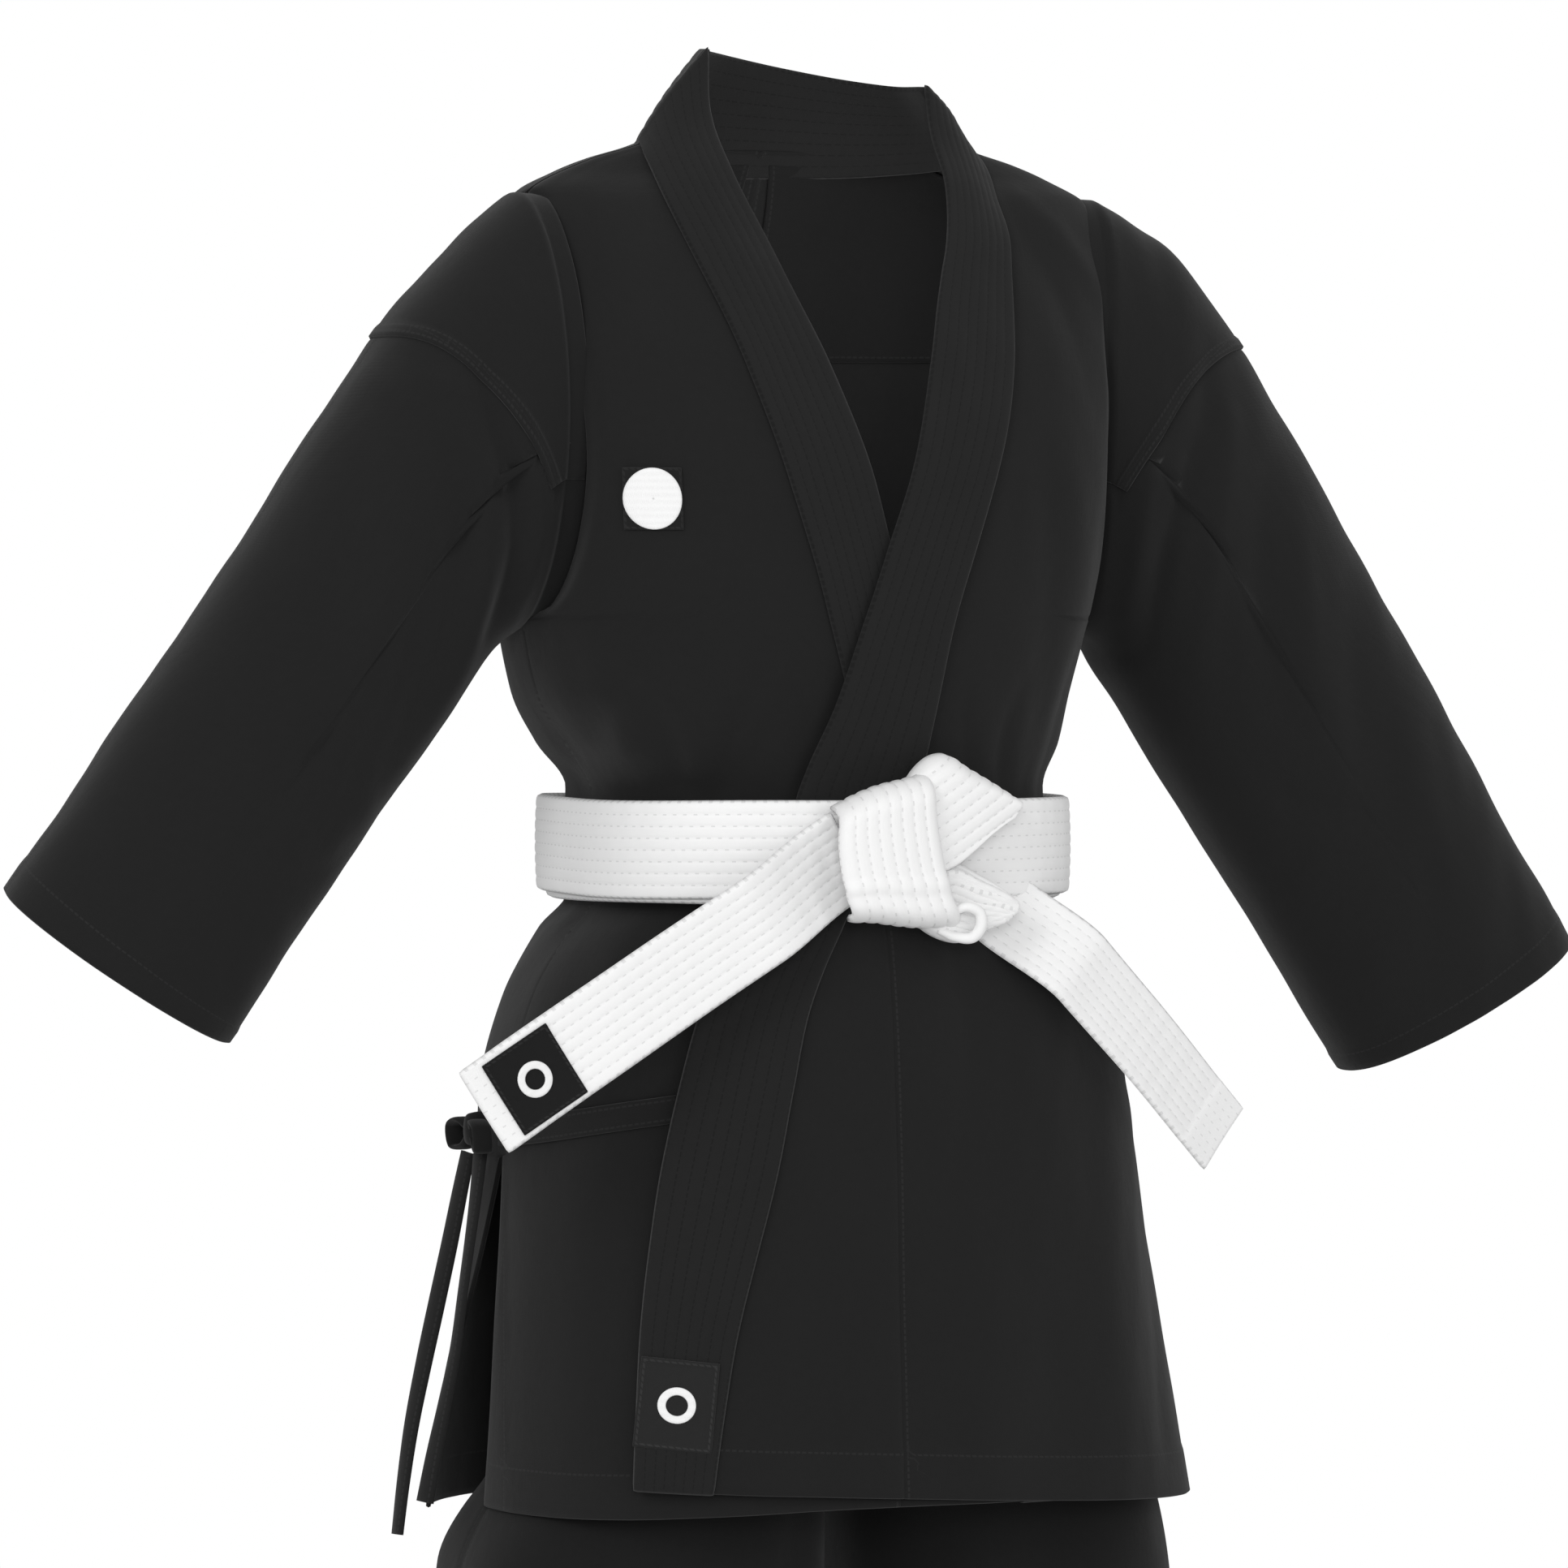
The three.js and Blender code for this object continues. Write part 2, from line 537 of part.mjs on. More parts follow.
const SEAT_LEVELS = [-308, -330, -340, -400, -460, -510, TROUSER_RISE];
for (const [name, side] of [['right', -1], ['left', 1]]) {
  for (const [face, from, to] of [['front', 0, SIDE], ['back', SIDE, CENTRE]]) {
    const rows = SEAT_LEVELS.map((z) => trim(
      span(side * from, side * to, 6).map((angle) => onSeat(angle, z)), SEAM, SEAM,
    ));
    add(`trouser_${name}_${face}`, slab(rows, 2.5), TROUSER_CLOTH);
  }
}
// Strip between the legs, from the front seam under to the back seam.
const gussetRows = span(-70, 70, 6).map((y) => {
  const z = TROUSER_RISE + 6 - 12 * Math.cos(rad((y / 70) * 80));
  return [-4, 4].map((x) => vec(x, y, z));
});
add('crotch_gusset', slab(gussetRows, 2.5), TROUSER_CLOTH);

const LEG_SIDES = 20;
// Point on a leg at an angle from +X, in the direction of the back.
function onLeg(side, angle, z, inset = 0) {
  const [inner, outer, depth, shift] = [1, 2, 3, 4].map((column) => read(LEG, z, column));
  const bulge = (v) => Math.sign(v) * Math.abs(v) ** 0.8;
  const middle = side * (inner + outer) / 2 + shift;
  return vec(
    middle + ((outer - inner) / 2 - inset) * bulge(Math.cos(rad(angle))),
    (depth - inset) * bulge(Math.sin(rad(angle))),
    z,
  );
}
const LEG_HEM_DEPTH = 25;
for (const [name, side] of [['right', -1], ['left', 1]]) {
  for (const [face, from] of [['back', 0], ['front', 180]]) {
    const rows = LEG.map(([z]) => trim(
      span(from, from + 180, LEG_SIDES / 2).map((angle) => onLeg(side, angle, z)), SEAM, SEAM,
    ));
    add(`${name}_leg_${face}`, slab(rows, 2.5), TROUSER_CLOTH);
  }
  const around = span(0, 360, LEG_SIDES).slice(0, -1);
  const hem = [TROUSER_HEM + LEG_HEM_DEPTH, TROUSER_HEM + 0.5].map(
    (z) => around.map((angle) => onLeg(side, angle, z, 2.8)),
  );
  add(`${name}_leg_hem_facing`, slab(hem, 1.8, true), TROUSER_CLOTH);
}

export default uniform;
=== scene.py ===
"""Child's martial arts uniform: crossed jacket, quilted belt with a square knot, side tie and
trousers. Lengths are in millimetres until a mesh is made, which is in metres. +Z is up, the
wearer faces -Y and the wearer's right is -X."""
import math
import bpy
import numpy as np
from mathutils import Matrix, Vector


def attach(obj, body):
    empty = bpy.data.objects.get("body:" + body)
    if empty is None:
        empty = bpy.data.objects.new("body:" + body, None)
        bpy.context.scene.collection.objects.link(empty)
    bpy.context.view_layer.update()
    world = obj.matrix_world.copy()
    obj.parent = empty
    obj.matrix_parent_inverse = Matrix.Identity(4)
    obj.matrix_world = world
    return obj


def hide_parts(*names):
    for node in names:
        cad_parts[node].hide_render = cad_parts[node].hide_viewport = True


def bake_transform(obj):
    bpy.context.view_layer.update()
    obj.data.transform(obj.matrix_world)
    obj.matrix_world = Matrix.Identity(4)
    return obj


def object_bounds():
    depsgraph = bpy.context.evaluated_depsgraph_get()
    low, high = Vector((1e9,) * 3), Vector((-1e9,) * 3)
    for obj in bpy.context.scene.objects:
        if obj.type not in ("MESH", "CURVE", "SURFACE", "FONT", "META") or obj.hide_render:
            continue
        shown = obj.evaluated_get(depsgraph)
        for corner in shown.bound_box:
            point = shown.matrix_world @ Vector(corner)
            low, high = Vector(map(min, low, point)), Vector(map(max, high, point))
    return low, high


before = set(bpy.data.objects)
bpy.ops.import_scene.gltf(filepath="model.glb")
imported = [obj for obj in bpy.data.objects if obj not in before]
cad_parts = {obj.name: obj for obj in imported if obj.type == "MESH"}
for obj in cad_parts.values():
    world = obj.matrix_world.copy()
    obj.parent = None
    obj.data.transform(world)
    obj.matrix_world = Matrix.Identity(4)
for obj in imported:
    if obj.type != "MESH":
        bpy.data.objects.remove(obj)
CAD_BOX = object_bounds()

METRE = 0.001                 # one millimetre in metres
SIDES = {"right": -1, "left": 1}

# ---------------------------------------------------------------- sizes shared with the frame
CLOTH = 0.75                  # half the thickness of one layer of jacket cloth
LAYER = 2.5                   # distance of each crossed front from the middle surface
SQUARENESS = 0.72             # 1 would make the body's sections true ellipses
ARMHOLE_TOP, ARMHOLE_BOTTOM, ARMHOLE_HALF_ANGLE = -24, -209, 30
BELT_LINE, VENT_TOP, JACKET_HEM = -307, -441, -597
BELT_WIDTH = 40
HEM_DEPTH = 20
CUFF_DEPTH = 15
HEM_STITCH = 1.6              # how far inside a hem's upper edge its stitches run
COLLAR_SEAM = -45             # height where the lapels meet the collar
STEP = 3.0                    # distance between neighbouring mesh points on plain cloth

# Body sections: height, half width, front depth, back depth, sideways shift.
BODY = [
    [0, 72, 10, 50, 0], [-3, 80, 12, 53, 0], [-8, 97, 15, 55, 0], [-14, 112, 20, 58, 0],
    [-24, 130, 31, 63, 0], [-38, 137, 42, 69, 0], [-60, 139, 56, 75, 0],
    [-100, 139, 78, 83, 0], [-150, 135, 94, 88, -2], [-200, 128, 98, 91, -6],
    [-240, 119, 95, 90, -8], [-262, 111, 91, 87, -5], [-282, 99, 88, 84, -1],
    [-330, 99, 88, 84, -1], [-345, 112, 93, 90, -1], [-373, 128, 98, 97, -1],
    [-409, 138, 102, 102, -1], [-452, 142, 105, 104, 1], [-520, 149, 108, 108, 4],
    [-597, 158, 112, 112, 8],
]
# Crossed lapels: height, inner edge, outer seam (both as sideways positions).
RIGHT_LAPEL = [
    [-45, -37, -73], [-76, -28, -64], [-113, -17, -54], [-150, -6, -44], [-181, 2, -35],
    [-209, 10, -27], [-240, 18, -17], [-275, 27, -4], [-307, 35, 5], [-330, 40, 9],
    [-373, 49, 17], [-441, 62, 30], [-520, 76, 44], [-597, 90, 58],
]
LEFT_LAPEL = [
    [-45, 47, 76], [-76, 34, 69], [-113, 22, 60], [-150, 10, 47], [-181, -2, 36],
    [-209, -12, 27], [-240, -22, 21], [-275, -34, 15], [-307, -44, 6], [-330, -57, -13],
    [-373, -79, -37], [-441, -97, -53], [-520, -106, -71], [-597, -110, -82],
]
# Lapel ends above the chest, from the collar seam down: inner point, outer point.
RIGHT_LAPEL_TOP = [
    [[-44, 3, 40], [-75, 1, -1]], [[-48, -7, 15], [-77, -12, -10]],
    [[-46, -28, -15], [-76, -29, -27]],
]
LEFT_LAPEL_TOP = [
    [[58, 3, 26], [75, 1, -1]], [[57, -8, 5], [79, -12, -10]],
    [[55, -30, -20], [78, -30, -27]],
]
COLLAR_BASE = [
    [-75, 1, -1], [-68, 27, -2], [-45, 45, -3], [0, 53, -3], [45, 45, -3], [68, 27, -2],
    [75, 1, -1],
]
COLLAR_TOP = [
    [-44, 3, 40], [-40, 20, 41], [-26, 33, 40], [6, 40, 35], [36, 35, 30], [53, 21, 27],
    [58, 3, 26],
]
# Sleeve outlines from the armhole to the cuff, as [distance from the middle, drop]. slant is
# how far the cuff's front runs on past its back, for each unit of depth.
SLEEVES = {
    "right": dict(
        side=-1,
        slant=0.27,
        over=[[136, 25], [153, 39], [172, 58], [197, 87], [235, 142], [276, 203], [319, 262],
              [363, 325]],
        under=[[137, 213], [146, 219], [156, 230], [168, 247], [193, 282], [218, 317],
               [243, 352], [267, 386]],
    ),
    "left": dict(
        side=1,
        slant=0.0,
        over=[[136, 23], [158, 35], [178, 51], [207, 88], [250, 155], [292, 222], [332, 288],
              [373, 354]],
        under=[[131, 213], [140, 221], [148, 236], [163, 258], [189, 297], [215, 335],
               [241, 374], [266, 412]],
    ),
}
SLEEVE_DEPTH = [50, 51, 51, 50, 48, 46, 44, 42]
TROUSER_WAIST, TROUSER_HEM = -308, -1085
SEAT_TOP, SEAT_BOTTOM, CROTCH = -306, -549, -542
# Trousers: height, half width, half depth; then legs: height, inner, outer, half depth, shift.
SEAT = [
    [TROUSER_WAIST, 88, 77], [-330, 92, 80], [-340, 99, 84], [-400, 120, 90], [-460, 127, 92],
    [-548, 130, 88],
]
LEG = [
    [-553, 8, 121, 66, 0], [-597, 9, 151, 76, 8], [-640, 10, 157, 79, 8], [-700, 13, 160, 79, 6],
    [-850, 27, 163, 74, 3], [-1000, 38, 166, 69, 0], [TROUSER_HEM, 43, 168, 66, 0],
]
# Hanging ends of the side tie.
REAR_STRAND = [
    (-153, 12, -440), (-156, 13, -455), (-161, 14, -480), (-167, 14, -506), (-173, 14, -532),
    (-179, 13, -559), (-183, 12, -583), (-186, 11, -605),
]
FRONT_STRAND = [
    (-151, 2, -440), (-153, 1, -455), (-156, 0, -475), (-160, -1, -500), (-164, -2, -525),
    (-169, -2, -548), (-174, -2, -570), (-178, -2, -590),
]
TAPE_WIDTH = 11


# ---------------------------------------------------------------- camera
AZIMUTH, ELEVATION = math.radians(-22), math.radians(1.2)
DISTANCE = 3.5
VIEW_WIDTH = 0.690            # width of the picture at the body's axis
AIM_ACROSS, AIM_HEIGHT = -0.0086, -0.281


def make_camera():
    across = Vector((math.cos(AZIMUTH), math.sin(AZIMUTH), 0))
    ahead = Vector((-math.sin(AZIMUTH), math.cos(AZIMUTH), 0))
    aim = across * AIM_ACROSS + Vector((0, 0, AIM_HEIGHT))
    back = -ahead * math.cos(ELEVATION) + Vector((0, 0, math.sin(ELEVATION)))
    data = bpy.data.cameras.new("camera")
    data.sensor_width = 36
    data.lens = data.sensor_width * DISTANCE / VIEW_WIDTH
    camera = bpy.data.objects.new("camera", data)
    camera.location = aim + back * DISTANCE
    camera.rotation_mode = "QUATERNION"
    camera.rotation_quaternion = (-back).to_track_quat("-Z", "Y")
    bpy.context.collection.objects.link(camera)
    bpy.context.scene.camera = camera


make_camera()


# ---------------------------------------------------------------- curves and tables
def unit(v):
    return v / np.maximum(np.linalg.norm(v, axis=-1, keepdims=True), 1e-9)


def ease(t):
    """0 below 0, 1 above 1, smooth between."""
    t = np.clip(t, 0, 1)
    return t * t * (3 - 2 * t)


def reader(rows, rounded=False):
    """Function that reads a table smoothly by its first column, with no overshoot unless rounded."""
    rows = np.array(rows, float)
    rows = rows[np.argsort(rows[:, 0])]
    x, y = rows[:, 0], rows[:, 1:]
    slope = np.diff(y, axis=0) / np.diff(x)[:, None]
    before, after = slope[:-1], slope[1:]
    if rounded:
        reach = np.diff(x)[:, None]
        middle = (before * reach[1:] + after * reach[:-1]) / (reach[1:] + reach[:-1])
    else:
        same = before * after > 0
        middle = np.where(same, 2 * before * after / np.where(same, before + after, 1), 0)
    tangent = np.vstack([slope[:1], middle, slope[-1:]])

    def at(v):
        v = np.clip(np.asarray(v, float), x[0], x[-1])
        i = np.clip(np.searchsorted(x, v) - 1, 0, len(x) - 2)
        h = (x[i + 1] - x[i])[..., None]
        t = (v - x[i])[..., None] / h
        return (y[i] * (1 + 2 * t) * (1 - t) ** 2 + tangent[i] * h * t * (1 - t) ** 2
                + y[i + 1] * t * t * (3 - 2 * t) + tangent[i + 1] * h * t * t * (t - 1))
    return at


def length_along(points):
    steps = np.linalg.norm(np.diff(points, axis=0), axis=1)
    return np.concatenate([[0], np.cumsum(steps)])


def even(points, count):
    """Points along a polyline: that many at equal distances, or one at each of the given shares."""
    s = length_along(points)
    share = np.linspace(0, 1, count) if np.isscalar(count) else np.asarray(count)
    return np.stack([np.interp(share * s[-1], s, points[:, k]) for k in range(points.shape[1])], -1)


def spline(points, count):
    points = np.array(points, float)
    fine = reader(np.column_stack([length_along(points), points]), rounded=True)
    return even(fine(np.linspace(0, length_along(points)[-1], 40 * len(points))), count)


def shares(length, step=STEP, edge=1.0):
    """Shares of a length at about equal steps, with extra points close to both ends."""
    inner = np.linspace(0, 1, max(4, round(length / step)) + 1)
    near = np.array([0.5 * edge, 1.1 * edge]) / length
    return np.unique(np.concatenate([inner, near, 1 - near]))


# ---------------------------------------------------------------- surfaces of the wearer's shape
BODY_AT = reader(BODY)


def bulge(v, power):
    return np.sign(v) * np.abs(v) ** power


def on_body(angle, z, out=0.0):
    """Point on the body's surface. Angle 0 is the front, +90 the wearer's left."""
    angle, z, out = np.broadcast_arrays(
        np.asarray(angle, float), np.asarray(z, float), np.asarray(out, float))
    width, front, back, shift = np.moveaxis(BODY_AT(z), -1, 0)
    depth = np.where(np.abs(angle) <= 90, front, back)
    a = np.radians(angle)
    x = shift + (width + out) * bulge(np.sin(a), SQUARENESS)
    y = -(depth + out) * bulge(np.cos(a), SQUARENESS)
    return np.stack([x, y, z], -1)


def front_angle(x, z):
    width, _, _, shift = np.moveaxis(BODY_AT(np.asarray(z, float)), -1, 0)
    share = (x - shift) / width
    return np.sign(share) * np.degrees(np.arcsin(np.minimum(1, np.abs(share)) ** (1 / SQUARENESS)))


def armhole_cut(z):
    middle, reach = (ARMHOLE_TOP + ARMHOLE_BOTTOM) / 2, (ARMHOLE_TOP - ARMHOLE_BOTTOM) / 2
    return ARMHOLE_HALF_ANGLE * np.sqrt(np.maximum(0, 1 - ((z - middle) / reach) ** 2))


def body_levels(top, bottom, step=STEP):
    """Heights from top to bottom at equal steps along the body's side profile."""
    z = np.linspace(top, bottom, 2000)
    profile = np.column_stack([BODY_AT(z)[:, 0], z])
    count = max(4, round(length_along(profile)[-1] / step)) + 1
    return even(profile, count)[:, 1]


# ---------------------------------------------------------------- folds
# A fold: points as (sideways, height), half width, depth in mm (negative is a valley).
FRONT_FOLDS = [
    ([(-108, -23), (-113, -60), (-117, -95)], 7, -1.5),
    ([(-95, -30), (-101, -80), (-104, -130)], 10, 1.6),
    ([(-88, -70), (-91, -140), (-86, -200)], 11, -1.4),
    ([(-71, -290), (-67, -262), (-60, -235)], 4.5, -2.4),
    ([(-71, -290), (-90, -262), (-100, -240)], 5, -2.2),
    ([(-71, -290), (-55, -262), (-44, -240)], 4, -1.6),
    ([(-80, -288), (-79, -268), (-80, -240)], 4, 1.3),
    ([(-96, -288), (-104, -262), (-112, -244)], 6, 1.8),
    ([(-110, -290), (-113, -245), (-98, -215)], 7, -2.5),
    ([(-118, -215), (-104, -226), (-88, -246)], 8, 1.6),
    ([(-28, -290), (-36, -258), (-38, -230)], 6, -1.3),
    ([(91, -19), (112, -48), (131, -80)], 7, 1.5),
    ([(84, -30), (100, -70), (108, -120)], 9, -1.6),
    ([(92, -130), (96, -180), (88, -240)], 12, 1.5),
    ([(78, -160), (80, -220), (70, -285)], 9, -1.4),
    ([(108, -215), (98, -240), (84, -290)], 7, -1.8),
    ([(60, -290), (58, -262), (66, -235)], 5, -1.8),
    ([(44, -290), (38, -262), (36, -240)], 4, -1.2),
    ([(-139, -358), (-111, -340), (-90, -331)], 7, -2.2),
    ([(-96, -331), (-112, -365), (-118, -400)], 7, 1.6),
    ([(-70, -331), (-76, -360), (-78, -400)], 6, -1.3),
    ([(-139, -436), (-128, -428), (-112, -424)], 7, -2.0),
    ([(97, -375), (130, -410)], 11, -2.6),
    ([(60, -331), (82, -350), (110, -362)], 6, -1.8),
    ([(84, -331), (104, -352), (124, -380)], 7, 1.5),
    ([(28, -331), (34, -370), (38, -420)], 7, -1.0),
    ([(104, -430), (108, -510), (112, -600)], 15, 1.8),
    ([(70, -440), (72, -520), (70, -600)], 17, -1.6),
    ([(132, -440), (136, -520), (140, -600)], 12, -1.8),
    ([(36, -470), (38, -540), (36, -600)], 16, 1.2),
    ([(-70, -440), (-76, -520), (-80, -600)], 16, 1.0),
    ([(-118, -450), (-120, -530), (-124, -600)], 9, -1.5),
    ([(-30, -430), (-34, -520), (-38, -600)], 18, -1.2),
]
BACK_FOLDS = [
    ([(-40, -40), (-52, -110), (-48, -190)], 13, -2.0),
    ([(-100, -60), (-92, -130), (-70, -210)], 10, -2.6),
    ([(-112, -150), (-88, -205), (-52, -262)], 9, -2.8),
    ([(30, -60), (44, -120), (40, -200)], 14, -1.8),
    ([(102, -70), (94, -140), (66, -220)], 10, -2.6),
    ([(110, -160), (82, -214), (44, -268)], 9, -2.8),
    ([(-8, -215), (-14, -250), (-18, -290)], 6, -2.2),
    ([(-40, -290), (-44, -262), (-58, -232)], 5, -2.6),
    ([(-64, -290), (-72, -262), (-90, -240)], 5, -2.6),
    ([(22, -290), (28, -258), (24, -226)], 5, -2.4),
    ([(52, -290), (60, -262), (76, -238)], 5, -2.6),
    ([(84, -290), (92, -268), (106, -250)], 5, -2.2),
    ([(-70, -331), (-80, -372), (-90, -440)], 7, -2.6),
    ([(-34, -331), (-38, -380), (-46, -470)], 8, -2.4),
    ([(12, -331), (14, -380), (20, -480)], 8, -2.6),
    ([(52, -331), (62, -380), (70, -460)], 8, -2.6),
    ([(90, -331), (104, -372), (114, -430)], 7, -2.4),
    ([(-90, -470), (-96, -540), (-100, -600)], 15, -3.0),
    ([(-50, -480), (-54, -540), (-56, -600)], 14, 2.6),
    ([(-6, -490), (-6, -550), (-8, -600)], 15, -2.8),
    ([(40, -480), (44, -540), (46, -600)], 14, 2.6),
    ([(92, -470), (98, -540), (104, -600)], 15, -3.0),
]
SLEEVE_FOLDS = {
    "right": [
        ([(-191, -98), (-177, -181), (-210, -278)], 8, -3.2),
        ([(-167, -107), (-152, -186), (-160, -214)], 6, -4.5),
        ([(-195, -124), (-191, -181), (-233, -300)], 7, -2.4),
        ([(-179, -110), (-166, -170), (-172, -226), (-196, -270)], 7, 2.8),
        ([(-150, -120), (-140, -170), (-146, -210)], 5, 2.0),
        ([(-205, -110), (-206, -180), (-232, -250)], 10, 1.8),
        ([(-222, -150), (-236, -215), (-262, -290)], 13, -1.6),
        ([(-226, -238), (-242, -262), (-262, -268)], 9, -1.4),
        ([(-248, -240), (-280, -300), (-300, -350)], 14, 1.4),
        ([(-206, -292), (-226, -312), (-252, -318)], 8, -1.5),
    ],
    "left": [
        ([(165, -137), (153, -181), (150, -221)], 6, -4.2),
        ([(203, -142), (199, -181), (212, -250)], 8, -2.6),
        ([(184, -120), (176, -175), (172, -232)], 8, 2.6),
        ([(178, -90), (168, -130), (160, -160)], 8, -1.8),
        ([(150, -110), (143, -160), (143, -205)], 5, 2.0),
        ([(222, -150), (222, -210), (244, -290)], 11, 1.8),
        ([(246, -190), (254, -250), (282, -330)], 13, -1.6),
        ([(198, -268), (222, -290), (250, -296)], 8, -1.6),
        ([(270, -260), (300, -330), (318, -380)], 14, 1.4),
    ],
}
LEG_FOLDS = [
    ([(-60, -620), (-78, -740), (-92, -900), (-104, -1085)], 16, 2.6),
    ([(-110, -640), (-126, -760), (-138, -900), (-146, -1085)], 14, -2.6),
    ([(-30, -590), (-52, -660), (-84, -700)], 10, -2.4),
    ([(-26, -640), (-50, -720), (-74, -770)], 11, 2.0),
    ([(-46, -880), (-80, -906), (-120, -900)], 12, -2.0),
    ([(-52, -960), (-76, -1010), (-84, -1085)], 12, -2.2),
    ([(-140, -960), (-122, -1020), (-118, -1085)], 11, 2.2),
]


def fold_height(x, z, folds):
    """Sum of the folds' heights at sideways positions and heights."""
    total = np.zeros_like(x)
    for points, width, depth in folds:
        path = spline(points, 12) if len(points) > 2 else np.array(points, float)
        s = length_along(path)
        best = np.full(x.shape, 1e9)
        where = np.zeros_like(x)
        for k in range(len(path) - 1):
            (ax, az), (bx, bz) = path[k], path[k + 1]
            span = max((bx - ax) ** 2 + (bz - az) ** 2, 1e-9)
            t = np.clip(((x - ax) * (bx - ax) + (z - az) * (bz - az)) / span, 0, 1)
            gap = np.hypot(x - ax - t * (bx - ax), z - az - t * (bz - az))
            nearer = gap < best
            best = np.where(nearer, gap, best)
            where = np.where(nearer, s[k] + t * (s[k + 1] - s[k]), where)
        share = where / s[-1]
        taper = 0.35 + 0.65 * np.sin(np.pi * np.clip(share, 0.04, 0.96))
        total += depth * taper * np.exp(-np.abs(best / width) ** 1.8)
    return total


def ripples(x, z, seed, width, height, count=6):
    """Gentle seeded undulation, stretched along the height."""
    rng = np.random.default_rng(seed)
    total = np.zeros_like(x)
    for _ in range(count):
        across = rng.uniform(0.6, 1.6) / width
        along = rng.uniform(-0.35, 0.35) / width
        total += np.sin(2 * np.pi * (across * x + along * z) + rng.uniform(0, 2 * np.pi))
    return height * total / math.sqrt(count)


def cloth_relief(points):
    """Height of the jacket body's folds at points on it, the same for every panel."""
    x, y, z = points[..., 0], points[..., 1], points[..., 2]
    front = ease((12 - y) / 24)
    both = ripples(x, z, 11, 70, 0.55) + ripples(x + 0.4 * y, z, 12, 26, 0.16)
    fade = ease((-z - 4) / 30)
    return fade * (front * fold_height(x, z, FRONT_FOLDS)
                   + (1 - front) * fold_height(x, z, BACK_FOLDS) + both)


# ---------------------------------------------------------------- meshes
def differences(points, ring):
    down = np.gradient(points, axis=0)
    across = (np.roll(points, -1, 1) - np.roll(points, 1, 1)) if ring else np.gradient(points, axis=1)
    return down, across


def outward(points, centre, ring=False):
    """Unit normals of a grid, all on the side away from centre."""
    down, across = differences(points, ring)
    normal = unit(np.cross(down, across))
    return normal * (1 if np.sum(normal * (points - centre)) > 0 else -1)


def axis_of(points):
    """The body's vertical axis beside each point."""
    return points * [0, 0, 1]


def behind(points):
    return points + [0, 50, 0]


def lift(points, height, centre, ring=False):
    return points + outward(points, centre, ring) * np.asarray(height)[..., None]


def weave(along, across):
    """Place of each point on the flat cloth, for the weave and its rows of stitches."""
    return np.stack([along, across, 0 * across], -1)


def tube(path, side, front, across, deep):
    """Grid of rings about a path, from each ring's points along two directions."""
    across, deep = np.atleast_2d(across)[..., None], np.atleast_2d(deep)[..., None]
    return path[:, None] + side[:, None] * across + front[:, None] * deep


def make_object(name, vertices, faces, cloth, stitch):
    mesh = bpy.data.meshes.new(name)
    mesh.from_pydata((vertices * METRE).tolist(), [], faces.tolist())
    mesh.polygons.foreach_set("use_smooth", np.ones(len(faces), bool))
    for label, values in (("cloth", cloth), ("stitch", stitch)):
        attribute = mesh.attributes.new(label, "FLOAT_VECTOR", "POINT")
        attribute.data.foreach_set("vector", (values * METRE).astype(np.float32).ravel())
    mesh.validate()
    mesh.update()
    piece = bpy.data.objects.new(name, mesh)
    bpy.context.collection.objects.link(piece)
    return piece


def cloth_places(points):
    """Distance along the rows and down the columns of a grid, for the weave."""
    u = np.cumsum(np.linalg.norm(np.diff(points, axis=1, prepend=points[:, :1]), axis=-1), 1)
    v = np.cumsum(np.linalg.norm(np.diff(points, axis=0, prepend=points[:1]), axis=-1), 0)
    middle = u.shape[1] // 2
    u = u - u[:, middle:middle + 1]
    return weave(u, np.broadcast_to(v[:, middle:middle + 1], u.shape))


SURFACES = {}                 # middle surface of every closed piece, and whether it is a ring


